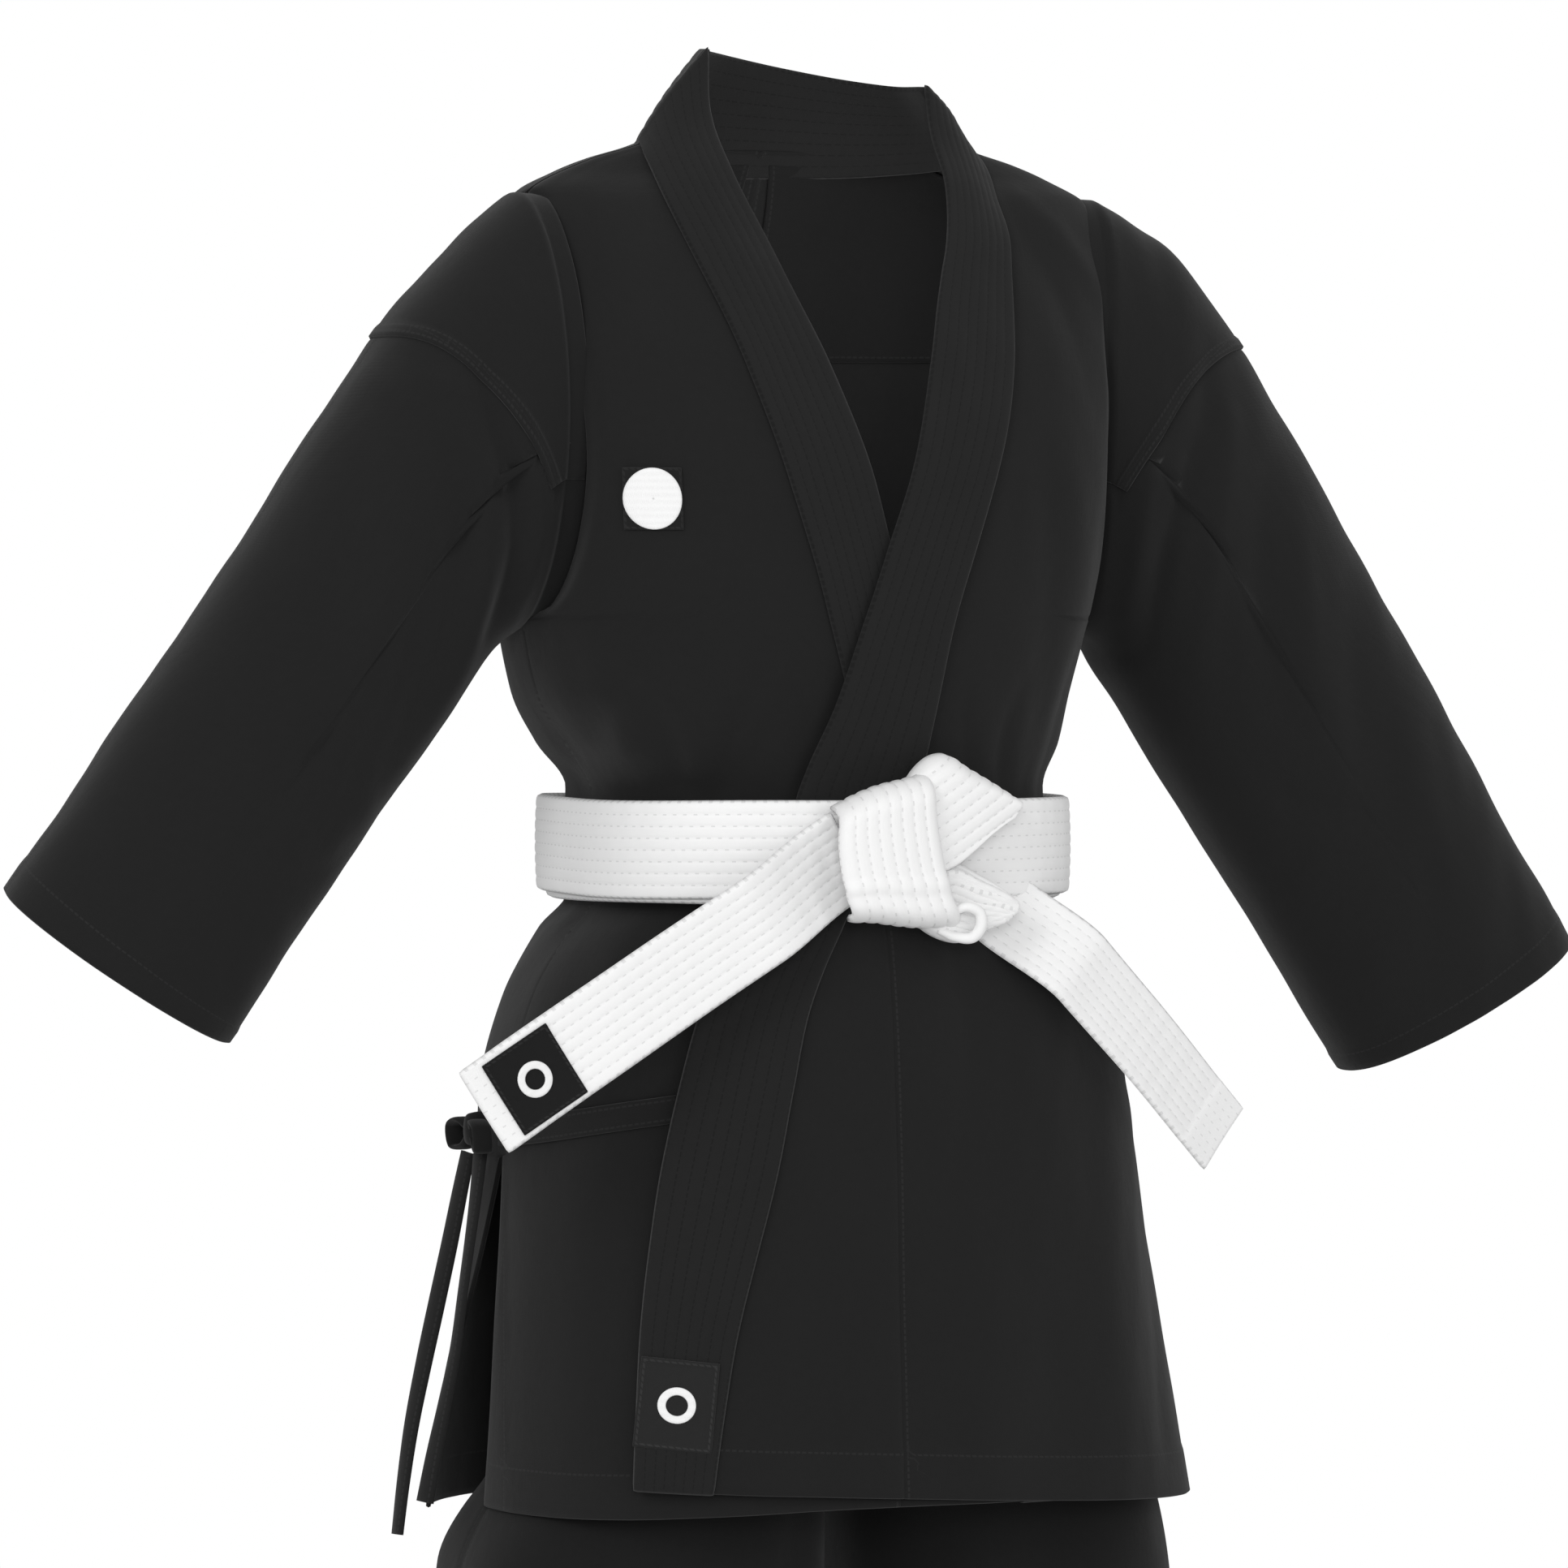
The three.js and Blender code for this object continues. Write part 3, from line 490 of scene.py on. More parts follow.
def shell(name, mid, half, centre, ring=False, relief=0.0, stitch=None, places=None):
    """Closed cloth solid about a grid of points: outer face with relief, inner face and round rims.
    stitch is (distance along, distance from) the nearest row of stitches at each point."""
    SURFACES[name] = (mid, ring)
    m, n = mid.shape[:2]
    half = np.broadcast_to(half, (m, n))[..., None]
    normal = outward(mid, centre, ring)
    outer = mid + normal * (half + np.broadcast_to(relief, (m, n))[..., None])
    inner = mid - normal * half
    places = cloth_places(mid) if places is None else places
    stitch = np.full((m, n, 2), 50.0) if stitch is None else stitch
    stitch = np.concatenate([stitch, np.zeros((m, n, 1))], -1)
    down, across = (unit(d) for d in differences(mid, ring))
    ids = np.arange(m * n).reshape(m, n)
    right = np.roll(ids, -1, 1) if ring else ids[:, 1:]
    left = ids if ring else ids[:, :-1]
    quads = np.stack([left[:-1], left[1:], right[1:], right[:-1]], -1).reshape(-1, 4)
    flip = np.sum(np.cross(down, across) * normal) < 0
    faces = [quads[:, ::-1] if flip else quads, (quads if flip else quads[:, ::-1]) + m * n]
    if ring:
        loops = [(ids[0], -down[0]), (ids[-1][::-1], down[-1][::-1])]
    else:
        edge = np.concatenate([ids[0, ::-1], ids[1:, 0], ids[-1, 1:], ids[-2:0:-1, -1]])
        away = np.zeros((m, n, 3))
        away[0] -= down[0]
        away[-1] += down[-1]
        away[:, 0] -= across[:, 0]
        away[:, -1] += across[:, -1]
        loops = [(edge, unit(away).reshape(-1, 3)[edge])]
    rims, base = [], 2 * m * n
    flat_mid, flat_half = ((outer + inner) / 2).reshape(-1, 3), half.reshape(-1, 1)
    for loop, away in loops:
        rims.append(flat_mid[loop] + away * flat_half[loop] * 0.8)
        rim = base + np.arange(len(loop))
        after, rim_after = np.roll(loop, -1), np.roll(rim, -1)
        sides = [np.stack([loop, rim, rim_after, after], -1),
                 np.stack([rim, loop + m * n, after + m * n, rim_after], -1)]
        if ring:
            sides = [s[:, ::-1] for s in sides]
        faces += [s[:, ::-1] if flip else s for s in sides]
        base += len(loop)
    order = np.concatenate([loop for loop, _ in loops])
    vertices = np.concatenate([outer.reshape(-1, 3), inner.reshape(-1, 3), *rims])

    def spread(values):
        values = values.reshape(-1, 3)
        return np.concatenate([values, values, values[order]])

    return make_object(name, vertices, np.concatenate(faces), spread(places), spread(stitch))


def joined(name, parts):
    """One object from several meshes."""
    bpy.context.view_layer.update()
    for o in bpy.context.selected_objects:
        o.select_set(False)
    for o in parts:
        o.select_set(True)
    bpy.context.view_layer.objects.active = parts[0]
    bpy.ops.object.join()
    parts[0].name = name
    return parts[0]


# ---------------------------------------------------------------- materials
class Graph:
    """Short names for building a material's nodes."""

    def __init__(self, name):
        self.material = bpy.data.materials.new(name)
        self.material.use_nodes = True
        self.tree = self.material.node_tree
        self.tree.nodes.clear()
        self.shader = self.node("ShaderNodeBsdfPrincipled")
        output = self.node("ShaderNodeOutputMaterial")
        self.tree.links.new(self.shader.outputs[0], output.inputs[0])

    def node(self, kind, inputs=(), **settings):
        made = self.tree.nodes.new(kind)
        for key, value in settings.items():
            setattr(made, key, value)
        for key, value in dict(inputs).items():
            self.put(made.inputs[key], value)
        return made

    def put(self, socket, value):
        if isinstance(value, bpy.types.NodeSocket):
            self.tree.links.new(value, socket)
        else:
            socket.default_value = value

    def math(self, operation, *values):
        made = self.node("ShaderNodeMath", operation=operation)
        for socket, value in zip(made.inputs, values):
            self.put(socket, value)
        return made.outputs[0]

    def noise(self, vector, scale, detail=3.0):
        made = self.node("ShaderNodeTexNoise", {"Vector": vector, "Scale": scale, "Detail": detail})
        return made.outputs["Fac"]

    def stretch(self, vector, factors):
        made = self.node("ShaderNodeVectorMath", operation="MULTIPLY")
        self.put(made.inputs[0], vector)
        made.inputs[1].default_value = factors
        return made.outputs[0]

    def mix(self, share, first, second):
        made = self.node("ShaderNodeMix", data_type="RGBA")
        for socket, value in ((made.inputs[0], share), (made.inputs[6], first), (made.inputs[7], second)):
            self.put(socket, value)
        return made.outputs[2]


def grey(value, tint=(1, 1, 1)):
    return (value * tint[0], value * tint[1], value * tint[2], 1)


def fabric(name, colour, roughness=0.9, sheen=0.1, thread=0.00055, twill=True, bump=0.35,
           mottle=0.16, stitch_colour=None, pitch=0.0028, duty=0.68, rows=None):
    """Woven cloth. thread is the distance between threads; rows is (spacing, pitch, width) in
    metres of quilting stitches that run along the cloth."""
    g = Graph(name)
    place = g.node("ShaderNodeAttribute", attribute_name="cloth").outputs["Vector"]
    axes = g.node("ShaderNodeSeparateXYZ", {"Vector": place})
    u, v = axes.outputs[0], axes.outputs[1]
    turn = 2 * math.pi / thread
    slant = g.math("ADD", u, v) if twill else u
    warp = g.math("SINE", g.math("MULTIPLY", slant, turn))
    weft = g.math("SINE", g.math("MULTIPLY", v, 0.5 * turn if twill else turn))
    woven = g.math("MULTIPLY_ADD", g.math("MULTIPLY", warp, weft), 0.5, 0.5)
    slub_warp = g.noise(g.stretch(place, (1.0, 0.06, 1.0)), 1600)
    slub_weft = g.noise(g.stretch(place, (0.06, 1.0, 1.0)), 1600)
    threads = g.math("ADD", slub_warp, slub_weft)
    soft = g.noise(place, 22, 4.0)
    fibre = g.noise(place, 260, 4.0)
    uneven = g.math("MULTIPLY_ADD", threads, 0.2, g.math("MULTIPLY", fibre, 0.1))
    shade = g.math("MULTIPLY_ADD", soft, 0.5, uneven)
    dark, light = grey(colour * (1 - mottle)), grey(colour * (1 + mottle))
    base = g.mix(shade, dark, light)
    height = g.math("MULTIPLY_ADD", threads, 0.5, g.math("MULTIPLY", woven, 0.55))
    if rows:
        spacing, row_pitch, width = rows
        row = g.math("MULTIPLY_ADD", v, 1 / spacing, 0.5)
        from_row = g.math("ABSOLUTE", g.math("SUBTRACT", g.math("FRACT", row), 0.5))
        near = g.math("LESS_THAN", from_row, width / spacing)
        offset = g.math("MULTIPLY", g.math("FLOOR", row), 0.37)
        step = g.math("FRACT", g.math("MULTIPLY_ADD", u, 1 / row_pitch, offset))
        hole = g.math("MULTIPLY", near, g.math("LESS_THAN", step, duty))
        base = g.mix(hole, base, stitch_colour)
        height = g.math("MULTIPLY_ADD", hole, -1.2, height)
    elif stitch_colour:
        seam = g.node("ShaderNodeAttribute", attribute_name="stitch").outputs["Vector"]
        parts = g.node("ShaderNodeSeparateXYZ", {"Vector": seam})
        near = g.math("LESS_THAN", g.math("ABSOLUTE", parts.outputs[1]), 0.00042)
        step = g.math("LESS_THAN", g.math("FRACT", g.math("MULTIPLY", parts.outputs[0], 1 / pitch)), duty)
        thread_mask = g.math("MULTIPLY", near, step)
        base = g.mix(thread_mask, base, stitch_colour)
        height = g.math("MULTIPLY_ADD", thread_mask, 1.6, height)
    fine = g.node("ShaderNodeBump", {"Strength": bump, "Distance": 0.00025, "Height": height})
    crumple = g.noise(g.stretch(place, (1.0, 0.7, 1.0)), 75, 5.0)
    wide = g.node("ShaderNodeBump", {"Strength": 0.22, "Distance": 0.0016, "Height": crumple,
                                     "Normal": fine.outputs[0]})
    rough = g.math("MULTIPLY_ADD", fibre, 0.12, roughness - 0.06)
    g.put(g.shader.inputs["Base Color"], base)
    g.put(g.shader.inputs["Roughness"], rough)
    g.put(g.shader.inputs["Normal"], wide.outputs[0])
    g.shader.inputs["Sheen Weight"].default_value = sheen
    g.shader.inputs["Sheen Roughness"].default_value = 0.5
    g.shader.inputs["Specular IOR Level"].default_value = 0.16
    return g.material


JACKET = fabric("jacket_cloth", 0.0098, stitch_colour=grey(0.017))
LAPEL = fabric("lapel_cloth", 0.0115, stitch_colour=grey(0.0075), rows=(0.0049, 0.0032, 0.00026))
LINING = fabric("lining_cloth", 0.0085, sheen=0.08, thread=0.0007, twill=False, stitch_colour=grey(0.015))
TROUSER = fabric("trouser_cloth", 0.0075, sheen=0.08, stitch_colour=grey(0.013))
BELT = fabric("belt_cotton", 0.86, roughness=0.82, thread=0.0008, twill=False,
              bump=0.25, mottle=0.03, stitch_colour=grey(0.72), rows=(0.005, 0.0046, 0.0003),
              duty=0.36)
BELT_HEM = fabric("belt_hem_cotton", 0.86, roughness=0.82, thread=0.0008, twill=False,
                  bump=0.3, mottle=0.03, stitch_colour=grey(0.58), pitch=0.0026)
WOVEN_BLACK = fabric("woven_black", 0.0045, roughness=0.7, thread=0.0005, mottle=0.2,
                     stitch_colour=grey(0.016))
WOVEN_GREY = fabric("woven_grey", 0.012, roughness=0.72, thread=0.0005, mottle=0.2,
                    stitch_colour=grey(0.024))
SATIN_WHITE = fabric("satin_stitch_white", 0.84, roughness=0.5, thread=0.0006,
                     bump=0.6, mottle=0.05)
ELASTIC = fabric("waist_elastic", 0.66, roughness=0.8, thread=0.0016, twill=False,
                 bump=0.8, mottle=0.08)


def settle(piece, material, nodes, body=None, bend=None):
    """Gives a finished piece its material and hides its CAD nodes; given a bend, bakes its transform in
    place, otherwise attaches it to its body.
    """
    piece.data.materials.clear()
    piece.data.materials.append(material)
    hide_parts(*nodes)
    if bend:
        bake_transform(piece)
    else:
        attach(piece, body or "garment")
    return piece


SLEEVE_BEND = {}
for arm, arm_side in SIDES.items():
    bend_middle = Vector((arm_side * 0.1335, 0, -0.113))
    bend_direction = Vector((arm_side * 0.987, 0, 0.161)) * 0.042
    SLEEVE_BEND[arm] = ("garment", f"{arm}_arm",
                        bend_middle - bend_direction, bend_middle + bend_direction)
SKIRT_BEND = ("garment", "back_skirt", (0, 0, -0.425), (0, 0, -0.460))


def leg_bend(side_name):
    return ("garment", f"{side_name}_trouser_leg", (0, 0, -0.540), (0, 0, -0.600))


# ---------------------------------------------------------------- cords: the tie's hanging ends
def strand(name, points, node, twist):
    """Flat sewn tape, a little hollow on one side, that hangs from the bow knot."""
    path = spline(points, 46)
    along = unit(np.gradient(path, axis=0))
    s = length_along(path)
    turn = np.radians(8 + twist * np.sin(s / s[-1] * 4.0))
    wide = unit(np.cross(along, [1, 0, 0]))
    thin = unit(np.cross(wide, along))
    wide, thin = (np.cos(turn)[:, None] * wide + np.sin(turn)[:, None] * thin,
                  np.cos(turn)[:, None] * thin - np.sin(turn)[:, None] * wide)
    around = np.radians(np.linspace(0, 360, 28, endpoint=False))
    across = TAPE_WIDTH / 2 * bulge(np.cos(around), 0.45)
    hollow = 1.3 * (across / (TAPE_WIDTH / 2)) ** 2 - 0.5
    deep = 1.2 * bulge(np.sin(around), 0.75) + hollow
    rings = tube(path, wide, thin, across, deep)
    m, n = rings.shape[:2]
    ids = np.arange(m * n).reshape(m, n)
    after = np.roll(ids, -1, 1)
    sides = np.stack([ids[:-1], ids[1:], after[1:], after[:-1]], -1).reshape(-1, 4)
    half = n // 2
    caps = []
    for row, flip in ((ids[0], False), (ids[-1], True)):
        for k in range(half - 1):
            quad = [row[k], row[k + 1], row[(n - k - 2) % n], row[(n - k - 1) % n]]
            caps.append(quad[::-1] if flip else quad)
    u = np.broadcast_to(across[None, :], (m, n))
    v = np.broadcast_to(s[:, None], (m, n))
    cloth = weave(u, v).reshape(-1, 3)
    edge = TAPE_WIDTH / 2 - 1.6 - np.abs(u)
    stitch = weave(v, edge).reshape(-1, 3)
    piece = make_object(name, rings.reshape(-1, 3), np.concatenate([sides, np.array(caps)]), cloth, stitch)
    settle(piece, JACKET, [node])
    return piece, path, s[-1]


rear_strand, rear_path, rear_length = strand("tie_end_rear", REAR_STRAND, "tie_strand_rear", 10)
front_strand, front_path, front_length = strand("tie_end_front", FRONT_STRAND, "tie_strand_front", -14)


# ---------------------------------------------------------------- jacket fronts
def layer_out(angle, out):
    """A crossed front comes back to the middle surface at the side seam."""
    return out * ease((90 - np.abs(angle)) / 22)


def body_grid(levels, start, end, columns, out=0.0, fine=160):
    """Grid on the body from angle start to angle end at each height, evenly spaced along rows."""
    rows = []
    for k, z in enumerate(levels):
        angle = np.linspace(start[k], end[k], fine)
        rows.append(even(on_body(angle, z, layer_out(angle, out) if out else 0.0), columns))
    return np.array(rows)


def hem_band(distance, depth=HEM_DEPTH, extra=0.55):
    """Extra height of a turned hem at each point's distance from the edge."""
    return extra * ease((depth - distance) / 2.4)


def seam_dip(distance, depth=0.8, width=1.3):
    """Groove where two pieces are sewn together, at each point's distance from the seam."""
    return -depth * np.exp(-(distance / width) ** 2)


def from_bottom(grid):
    step = np.linalg.norm(np.diff(grid[::-1], axis=0, prepend=grid[::-1][:1]), axis=-1)
    return np.cumsum(step, 0)[::-1]


def from_end(grid, last=True):
    flipped = grid[:, ::-1] if last else grid
    step = np.linalg.norm(np.diff(flipped, axis=1, prepend=flipped[:, :1]), axis=-1)
    total = np.cumsum(step, 1)
    return total[:, ::-1] if last else total


def nearest_stitch(lines):
    """Of several (along, distance) pairs of grids, the nearest at each point."""
    along, gap = (np.stack([pair[k] for pair in lines], -1) for k in (0, 1))
    pick = np.argmin(np.abs(gap), -1)[..., None]
    return np.concatenate([np.take_along_axis(values, pick, -1) for values in (along, gap)], -1)


FRONT_LEVELS = body_levels(-0.6, JACKET_HEM)
OUTER_RISE = reader([(-140, 21), (-110, 19), (0, 13), (160, 4)])
INNER_RISE = reader([(-160, 4), (0, 9), (110, 9)])


def raise_hem(grid, rise_at):
    """A front's hem doesn't hang level: lifts it by a table of the sideways place."""
    share = ease((VENT_TOP - grid[..., 2]) / (VENT_TOP - JACKET_HEM))
    grid = grid.copy()
    grid[..., 2] += rise_at(grid[..., 0])[..., 0] * share
    return grid


RIGHT_AT, LEFT_AT = reader(RIGHT_LAPEL), reader(LEFT_LAPEL)
TUCK = 6                      # how far a front runs on under its lapel


def front_panel(name, side, lapel_at, out):
    z = FRONT_LEVELS
    seam = lapel_at(z)[:, 1]
    inner = np.where(z > COLLAR_SEAM, side * 74.0, seam) - side * TUCK
    crossing = ease((BELT_LINE + 14 - z) / 28)
    inner = inner * (1 - crossing) + 0.0 * crossing
    start = front_angle(inner, z)
    end = side * (90 - armhole_cut(z))
    start = side * np.minimum(side * start, side * end - 4)
    columns = shares(150)
    grid = raise_hem(body_grid(z, start, end, columns, out), INNER_RISE if side < 0 else OUTER_RISE)
    edge, bottom, first = from_end(grid), from_bottom(grid), from_end(grid, last=False)
    grid = lift(grid, cloth_relief(grid), axis_of(grid))
    in_armhole = (armhole_cut(z) > 0)[:, None]
    armhole_roll = np.where(in_armhole, -3.4 * ease((12 - edge) / 12), 0)
    side_tuck = np.where(in_armhole, 0, seam_dip(edge, 0.9, 1.6))
    vent = (VENT_TOP - z)[:, None] / (VENT_TOP - JACKET_HEM)
    vent_width = 4 + 21 * np.clip(vent, 0, 1)
    vent_band = np.where(vent > 0, 0.5 * ease((vent_width - edge) / 2.2), 0)
    centre_seam = np.where(z[:, None] < BELT_LINE, first - 2.0, 50)
    grid = lift(grid, armhole_roll + side_tuck + seam_dip(first), axis_of(grid))
    along = from_bottom(grid)
    row = from_end(grid)
    stitch = nearest_stitch([
        (row, bottom - HEM_DEPTH + HEM_STITCH),
        (along, np.where(vent > 0, edge - vent_width + 1.2, 50)),
        (along, centre_seam),
        (along, np.where(z[:, None] < ARMHOLE_BOTTOM, edge - 2.2, 50)),
    ])
    relief = np.maximum(hem_band(bottom), vent_band)
    piece = shell(name, grid, CLOTH, axis_of(grid), relief=relief, stitch=stitch)
    arm = "right" if side < 0 else "left"
    settle(piece, JACKET, [f"{arm}_front_panel"], bend=SLEEVE_BEND[arm])
    return piece


def overlap_panel(name, lapel_at, out, node):
    z = body_levels(BELT_LINE + 10, JACKET_HEM)
    outer = lapel_at(z)[:, 1]
    outer = outer + np.sign(lapel_at(-400.0)[1]) * TUCK
    grid = body_grid(z, front_angle(0 * z, z), front_angle(outer, z), shares(90), out)
    grid = raise_hem(grid, INNER_RISE if out < 0 else OUTER_RISE)
    first, bottom = from_end(grid, last=False), from_bottom(grid)
    grid = lift(grid, cloth_relief(grid) + seam_dip(first), axis_of(grid))
    stitch = nearest_stitch([(from_end(grid), bottom - HEM_DEPTH + HEM_STITCH)])
    piece = shell(name, grid, CLOTH, axis_of(grid), relief=hem_band(bottom), stitch=stitch)
    return settle(piece, JACKET, [node])


front_panel("right_front", -1, RIGHT_AT, -LAYER)
front_panel("left_front", 1, LEFT_AT, LAYER)
overlap_panel("right_front_overlap", RIGHT_AT, -LAYER, "right_overlap_panel")
overlap_panel("left_front_overlap", LEFT_AT, LAYER, "left_overlap_panel")


# ---------------------------------------------------------------- lapels and collar
LAPEL_HALF = 1.5
LAPEL_OUT = 1.9               # how far a lapel's middle stands over its front
LAPEL_ROWS = 4.9              # distance between rows of quilting
QUILT = 0.26                  # height of the cloth between two rows of quilting
LAPEL_HEIGHTS = (COLLAR_SEAM, -60, -76, -95, -113, -150, -181, -209, -240, -275, BELT_LINE, -330,
                 -373, -409, VENT_TOP, -480, -520, -560, JACKET_HEM)


def quilt(distance, spacing, height=QUILT):
    """Pillow shape between rows of stitches at multiples of spacing."""
    share = np.abs((distance / spacing) % 1.0 * 2 - 1)
    return height * (1 - share ** 3)


def lapel(name, top, table_at, out, node):
    rows = [(np.array(a, float), np.array(b, float)) for a, b in top]
    for z in LAPEL_HEIGHTS:
        inner, outer = table_at(float(z))
        edge = [on_body(front_angle(x, float(z)), float(z), out) for x in (inner, outer)]
        rows.append(tuple(edge))
    inner, outer = (np.array([r[k] for r in rows]) for k in (0, 1))
    s = length_along((inner + outer) / 2)
    fine = np.linspace(0, s[-1], round(s[-1] / 2.6))
    inner, outer = (reader(np.column_stack([s, p]), rounded=True)(fine) for p in (inner, outer))
    columns = 46
    t = np.linspace(0, 1, columns)[None, :, None]
    flat = inner[:, None] * (1 - t) + outer[:, None] * t
    x, z = flat[..., 0], flat[..., 2]
    curved = on_body(front_angle(x, z), z, out)
    share = ease((COLLAR_SEAM - z) / 55)[..., None]
    grid = raise_hem(flat * (1 - share) + curved * share, INNER_RISE if out < 0 else OUTER_RISE)
    width = np.linalg.norm(np.diff(grid, axis=1), axis=-1).sum(1)[:, None]
    across = from_end(grid, last=False)
    relief = share[..., 0] * cloth_relief(grid)
    bow = 2.2 * (1 - share[..., 0]) * np.sin(np.pi * t[..., 0])
    grid = lift(grid, relief + LAPEL_OUT + bow, axis_of(grid))
    v = across / width * LAPEL_ROWS * round(37 / LAPEL_ROWS)
    along = np.broadcast_to(fine[:, None], v.shape)
    places = weave(along, v)
    bottom = (fine[-1] - fine)[:, None]
    puff = quilt(v, LAPEL_ROWS) * ease(bottom / 3) + hem_band(bottom + 0 * v, HEM_DEPTH + 1, 0.5)
    piece = shell(name, grid, LAPEL_HALF, axis_of(grid), relief=puff, places=places)
    return settle(piece, LAPEL, [node])


lapel("right_lapel_band", RIGHT_LAPEL_TOP, RIGHT_AT, -LAYER, "right_lapel")
lapel("left_lapel_band", LEFT_LAPEL_TOP, LEFT_AT, LAYER, "left_lapel")


def collar():
    count = 120
    base, top = spline(COLLAR_BASE, count), spline(COLLAR_TOP, count)
    t = np.linspace(-0.22, 1, 46)[None, :, None]
    grid = base[:, None] * (1 - t) + top[:, None] * t
    height = from_end(grid, last=False)
    width = height[:, -1:]
    v = height / width * LAPEL_ROWS * 9
    along = np.broadcast_to(length_along(top)[:, None], v.shape)
    bow = 1.4 * np.sin(np.pi * np.clip(t[..., 0], 0, 1))
    inside = np.array([0, 18, 20])
    grid = lift(grid, bow + 0 * v, inside)
    puff = quilt(v, LAPEL_ROWS)
    piece = shell("collar_band", grid, LAPEL_HALF, inside, relief=puff, places=weave(along, v))
    return settle(piece, LAPEL, ["neck_collar"])


collar()


# ---------------------------------------------------------------- jacket back
FLARE = {-1: 15.0, 1: 2.0}     # how far the back hem stands out sideways at each vent
SIDE_TUCK = 4                 # degrees that the back runs on under the front's side edge


def back_part(name, side, levels, nodes, bend, hem=False):
    z = levels
    vent = np.clip((VENT_TOP - z) / (VENT_TOP - JACKET_HEM), 0, 1)
    start = side * (90 + armhole_cut(z) + 14 * vent - SIDE_TUCK * (z < ARMHOLE_BOTTOM) * (z > VENT_TOP))
    grid = body_grid(z, start, side * 180 + 0 * z, shares(170))
    flare = FLARE[side] * ease(vent)[:, None] * np.exp(-((np.abs(grid[..., 0]) - 160) / 55) ** 2)
    grid[..., 0] += side * flare
    edge, seam, bottom = from_end(grid, last=False), from_end(grid), from_bottom(grid)
    rolled = np.where((armhole_cut(z) > 0)[:, None],
                      0.4 * ease((9 - edge) / 9) + seam_dip(edge, 1.9, 1.6), 0)
    tucked = np.where(((z < ARMHOLE_BOTTOM) & (z > VENT_TOP))[:, None], -1.5 * ease((7 - edge) / 5), 0)
    grid = lift(grid, cloth_relief(grid) + rolled + tucked + seam_dip(seam), axis_of(grid))
    along = from_bottom(grid)
    lines = [(along, seam - 2.0)]
    relief = np.zeros(grid.shape[:2])
    if hem:
        lines.append((seam, bottom - HEM_DEPTH + HEM_STITCH))
        lines.append((along, np.where(z[:, None] < VENT_TOP, edge - HEM_DEPTH * 0.8, 50)))
        side_hem = np.where(z[:, None] < VENT_TOP, hem_band(edge, HEM_DEPTH * 0.85), 0)
        relief = np.maximum(hem_band(bottom), side_hem)
    piece = shell(name, grid, CLOTH, axis_of(grid), relief=relief, stitch=nearest_stitch(lines))
    return settle(piece, JACKET, nodes, bend=bend)


for arm, arm_side in SIDES.items():
    back_part(
        f"back_{arm}", arm_side, body_levels(-0.6, BELT_LINE), [f"back_{arm}_panel"],
        SLEEVE_BEND[arm])
    back_part(
        f"back_{arm}_skirt", arm_side, body_levels(BELT_LINE, JACKET_HEM), [f"back_{arm}_flap"],
        SKIRT_BEND, hem=True)


def inner_patch(name, side, angles, heights, inset, nodes):
    """Second layer sewn to the inside of the body."""
    z = np.linspace(*heights, 30)
    grid = body_grid(z, side * angles[0] + 0 * z, side * angles[1] + 0 * z, shares(60))
    grid = lift(grid, cloth_relief(grid) - inset, axis_of(grid))
    edge = np.minimum(from_end(grid), from_end(grid, last=False))
    lines = [(from_bottom(grid), edge - 2.0), (from_end(grid), from_bottom(grid) - 2.0)]
    piece = shell(name, grid, 0.45, axis_of(grid), stitch=nearest_stitch(lines))
    arm = "right" if side < 0 else "left"
    bend = SLEEVE_BEND[arm] if "shoulder" in name else None
    return settle(piece, LINING, nodes, bend=bend)


for arm, arm_side in SIDES.items():
    inner_patch(f"{arm}_yoke_lining", arm_side, (128, 179), (-6, -92), 2.0, [f"{arm}_shoulder_lining"])
for arm, arm_side in SIDES.items():
    inner_patch(f"{arm}_vent_square", arm_side, (91, 100), (VENT_TOP + 24, VENT_TOP + 4), 1.8,
                [f"{arm}_vent_patch"])


# ---------------------------------------------------------------- sleeves
ARMHOLE_HOLLOW = 6
CAP_EDGE, CAP_REACH, CAP_END = 0.25, 3.0, 112.5
SLEEVE_SEED = {"right": 21, "left": 31}
SLEEVE_RUN, SLEEVE_DROP = 0.573, 0.82   # sideways and downward shares of a sleeve's direction
STATION_LENGTH = 72.0         # a sleeve station is about this long beyond the shoulder


def sleeve_surface(sleeve):
    count = len(sleeve["over"])
    over_at, under_at, depth_at = (
        reader(np.column_stack([np.arange(count), np.array(v, float)]), rounded=True)
        for v in (sleeve["over"], sleeve["under"], SLEEVE_DEPTH)
    )

    def at(station, angle, inset=0.0):
        inside = np.minimum(station, 0)
        station = np.maximum(station, 0)
        over, under, depth = over_at(station), under_at(station), depth_at(station)[..., 0] - inset
        half = np.hypot(*np.moveaxis(over - under, -1, 0)) / 2
        reach = (half - inset) / half * np.cos(np.radians(angle))
        round_ = bulge(np.sin(np.radians(angle)), 0.85)
        hollow = ARMHOLE_HOLLOW * np.maximum(0, 1 - station / 2) * np.sin(np.radians(angle)) ** 2
        place = (over + under) / 2 + reach[..., None] * (over - under) / 2
        slant = sleeve["slant"] * depth * round_ * ease((station - 3) / 4)
        x = sleeve["side"] * (place[..., 0] - hollow + inside * 22 + SLEEVE_RUN * slant)
        return np.stack([x, -depth * round_, -place[..., 1] - SLEEVE_DROP * slant], -1)
    return at


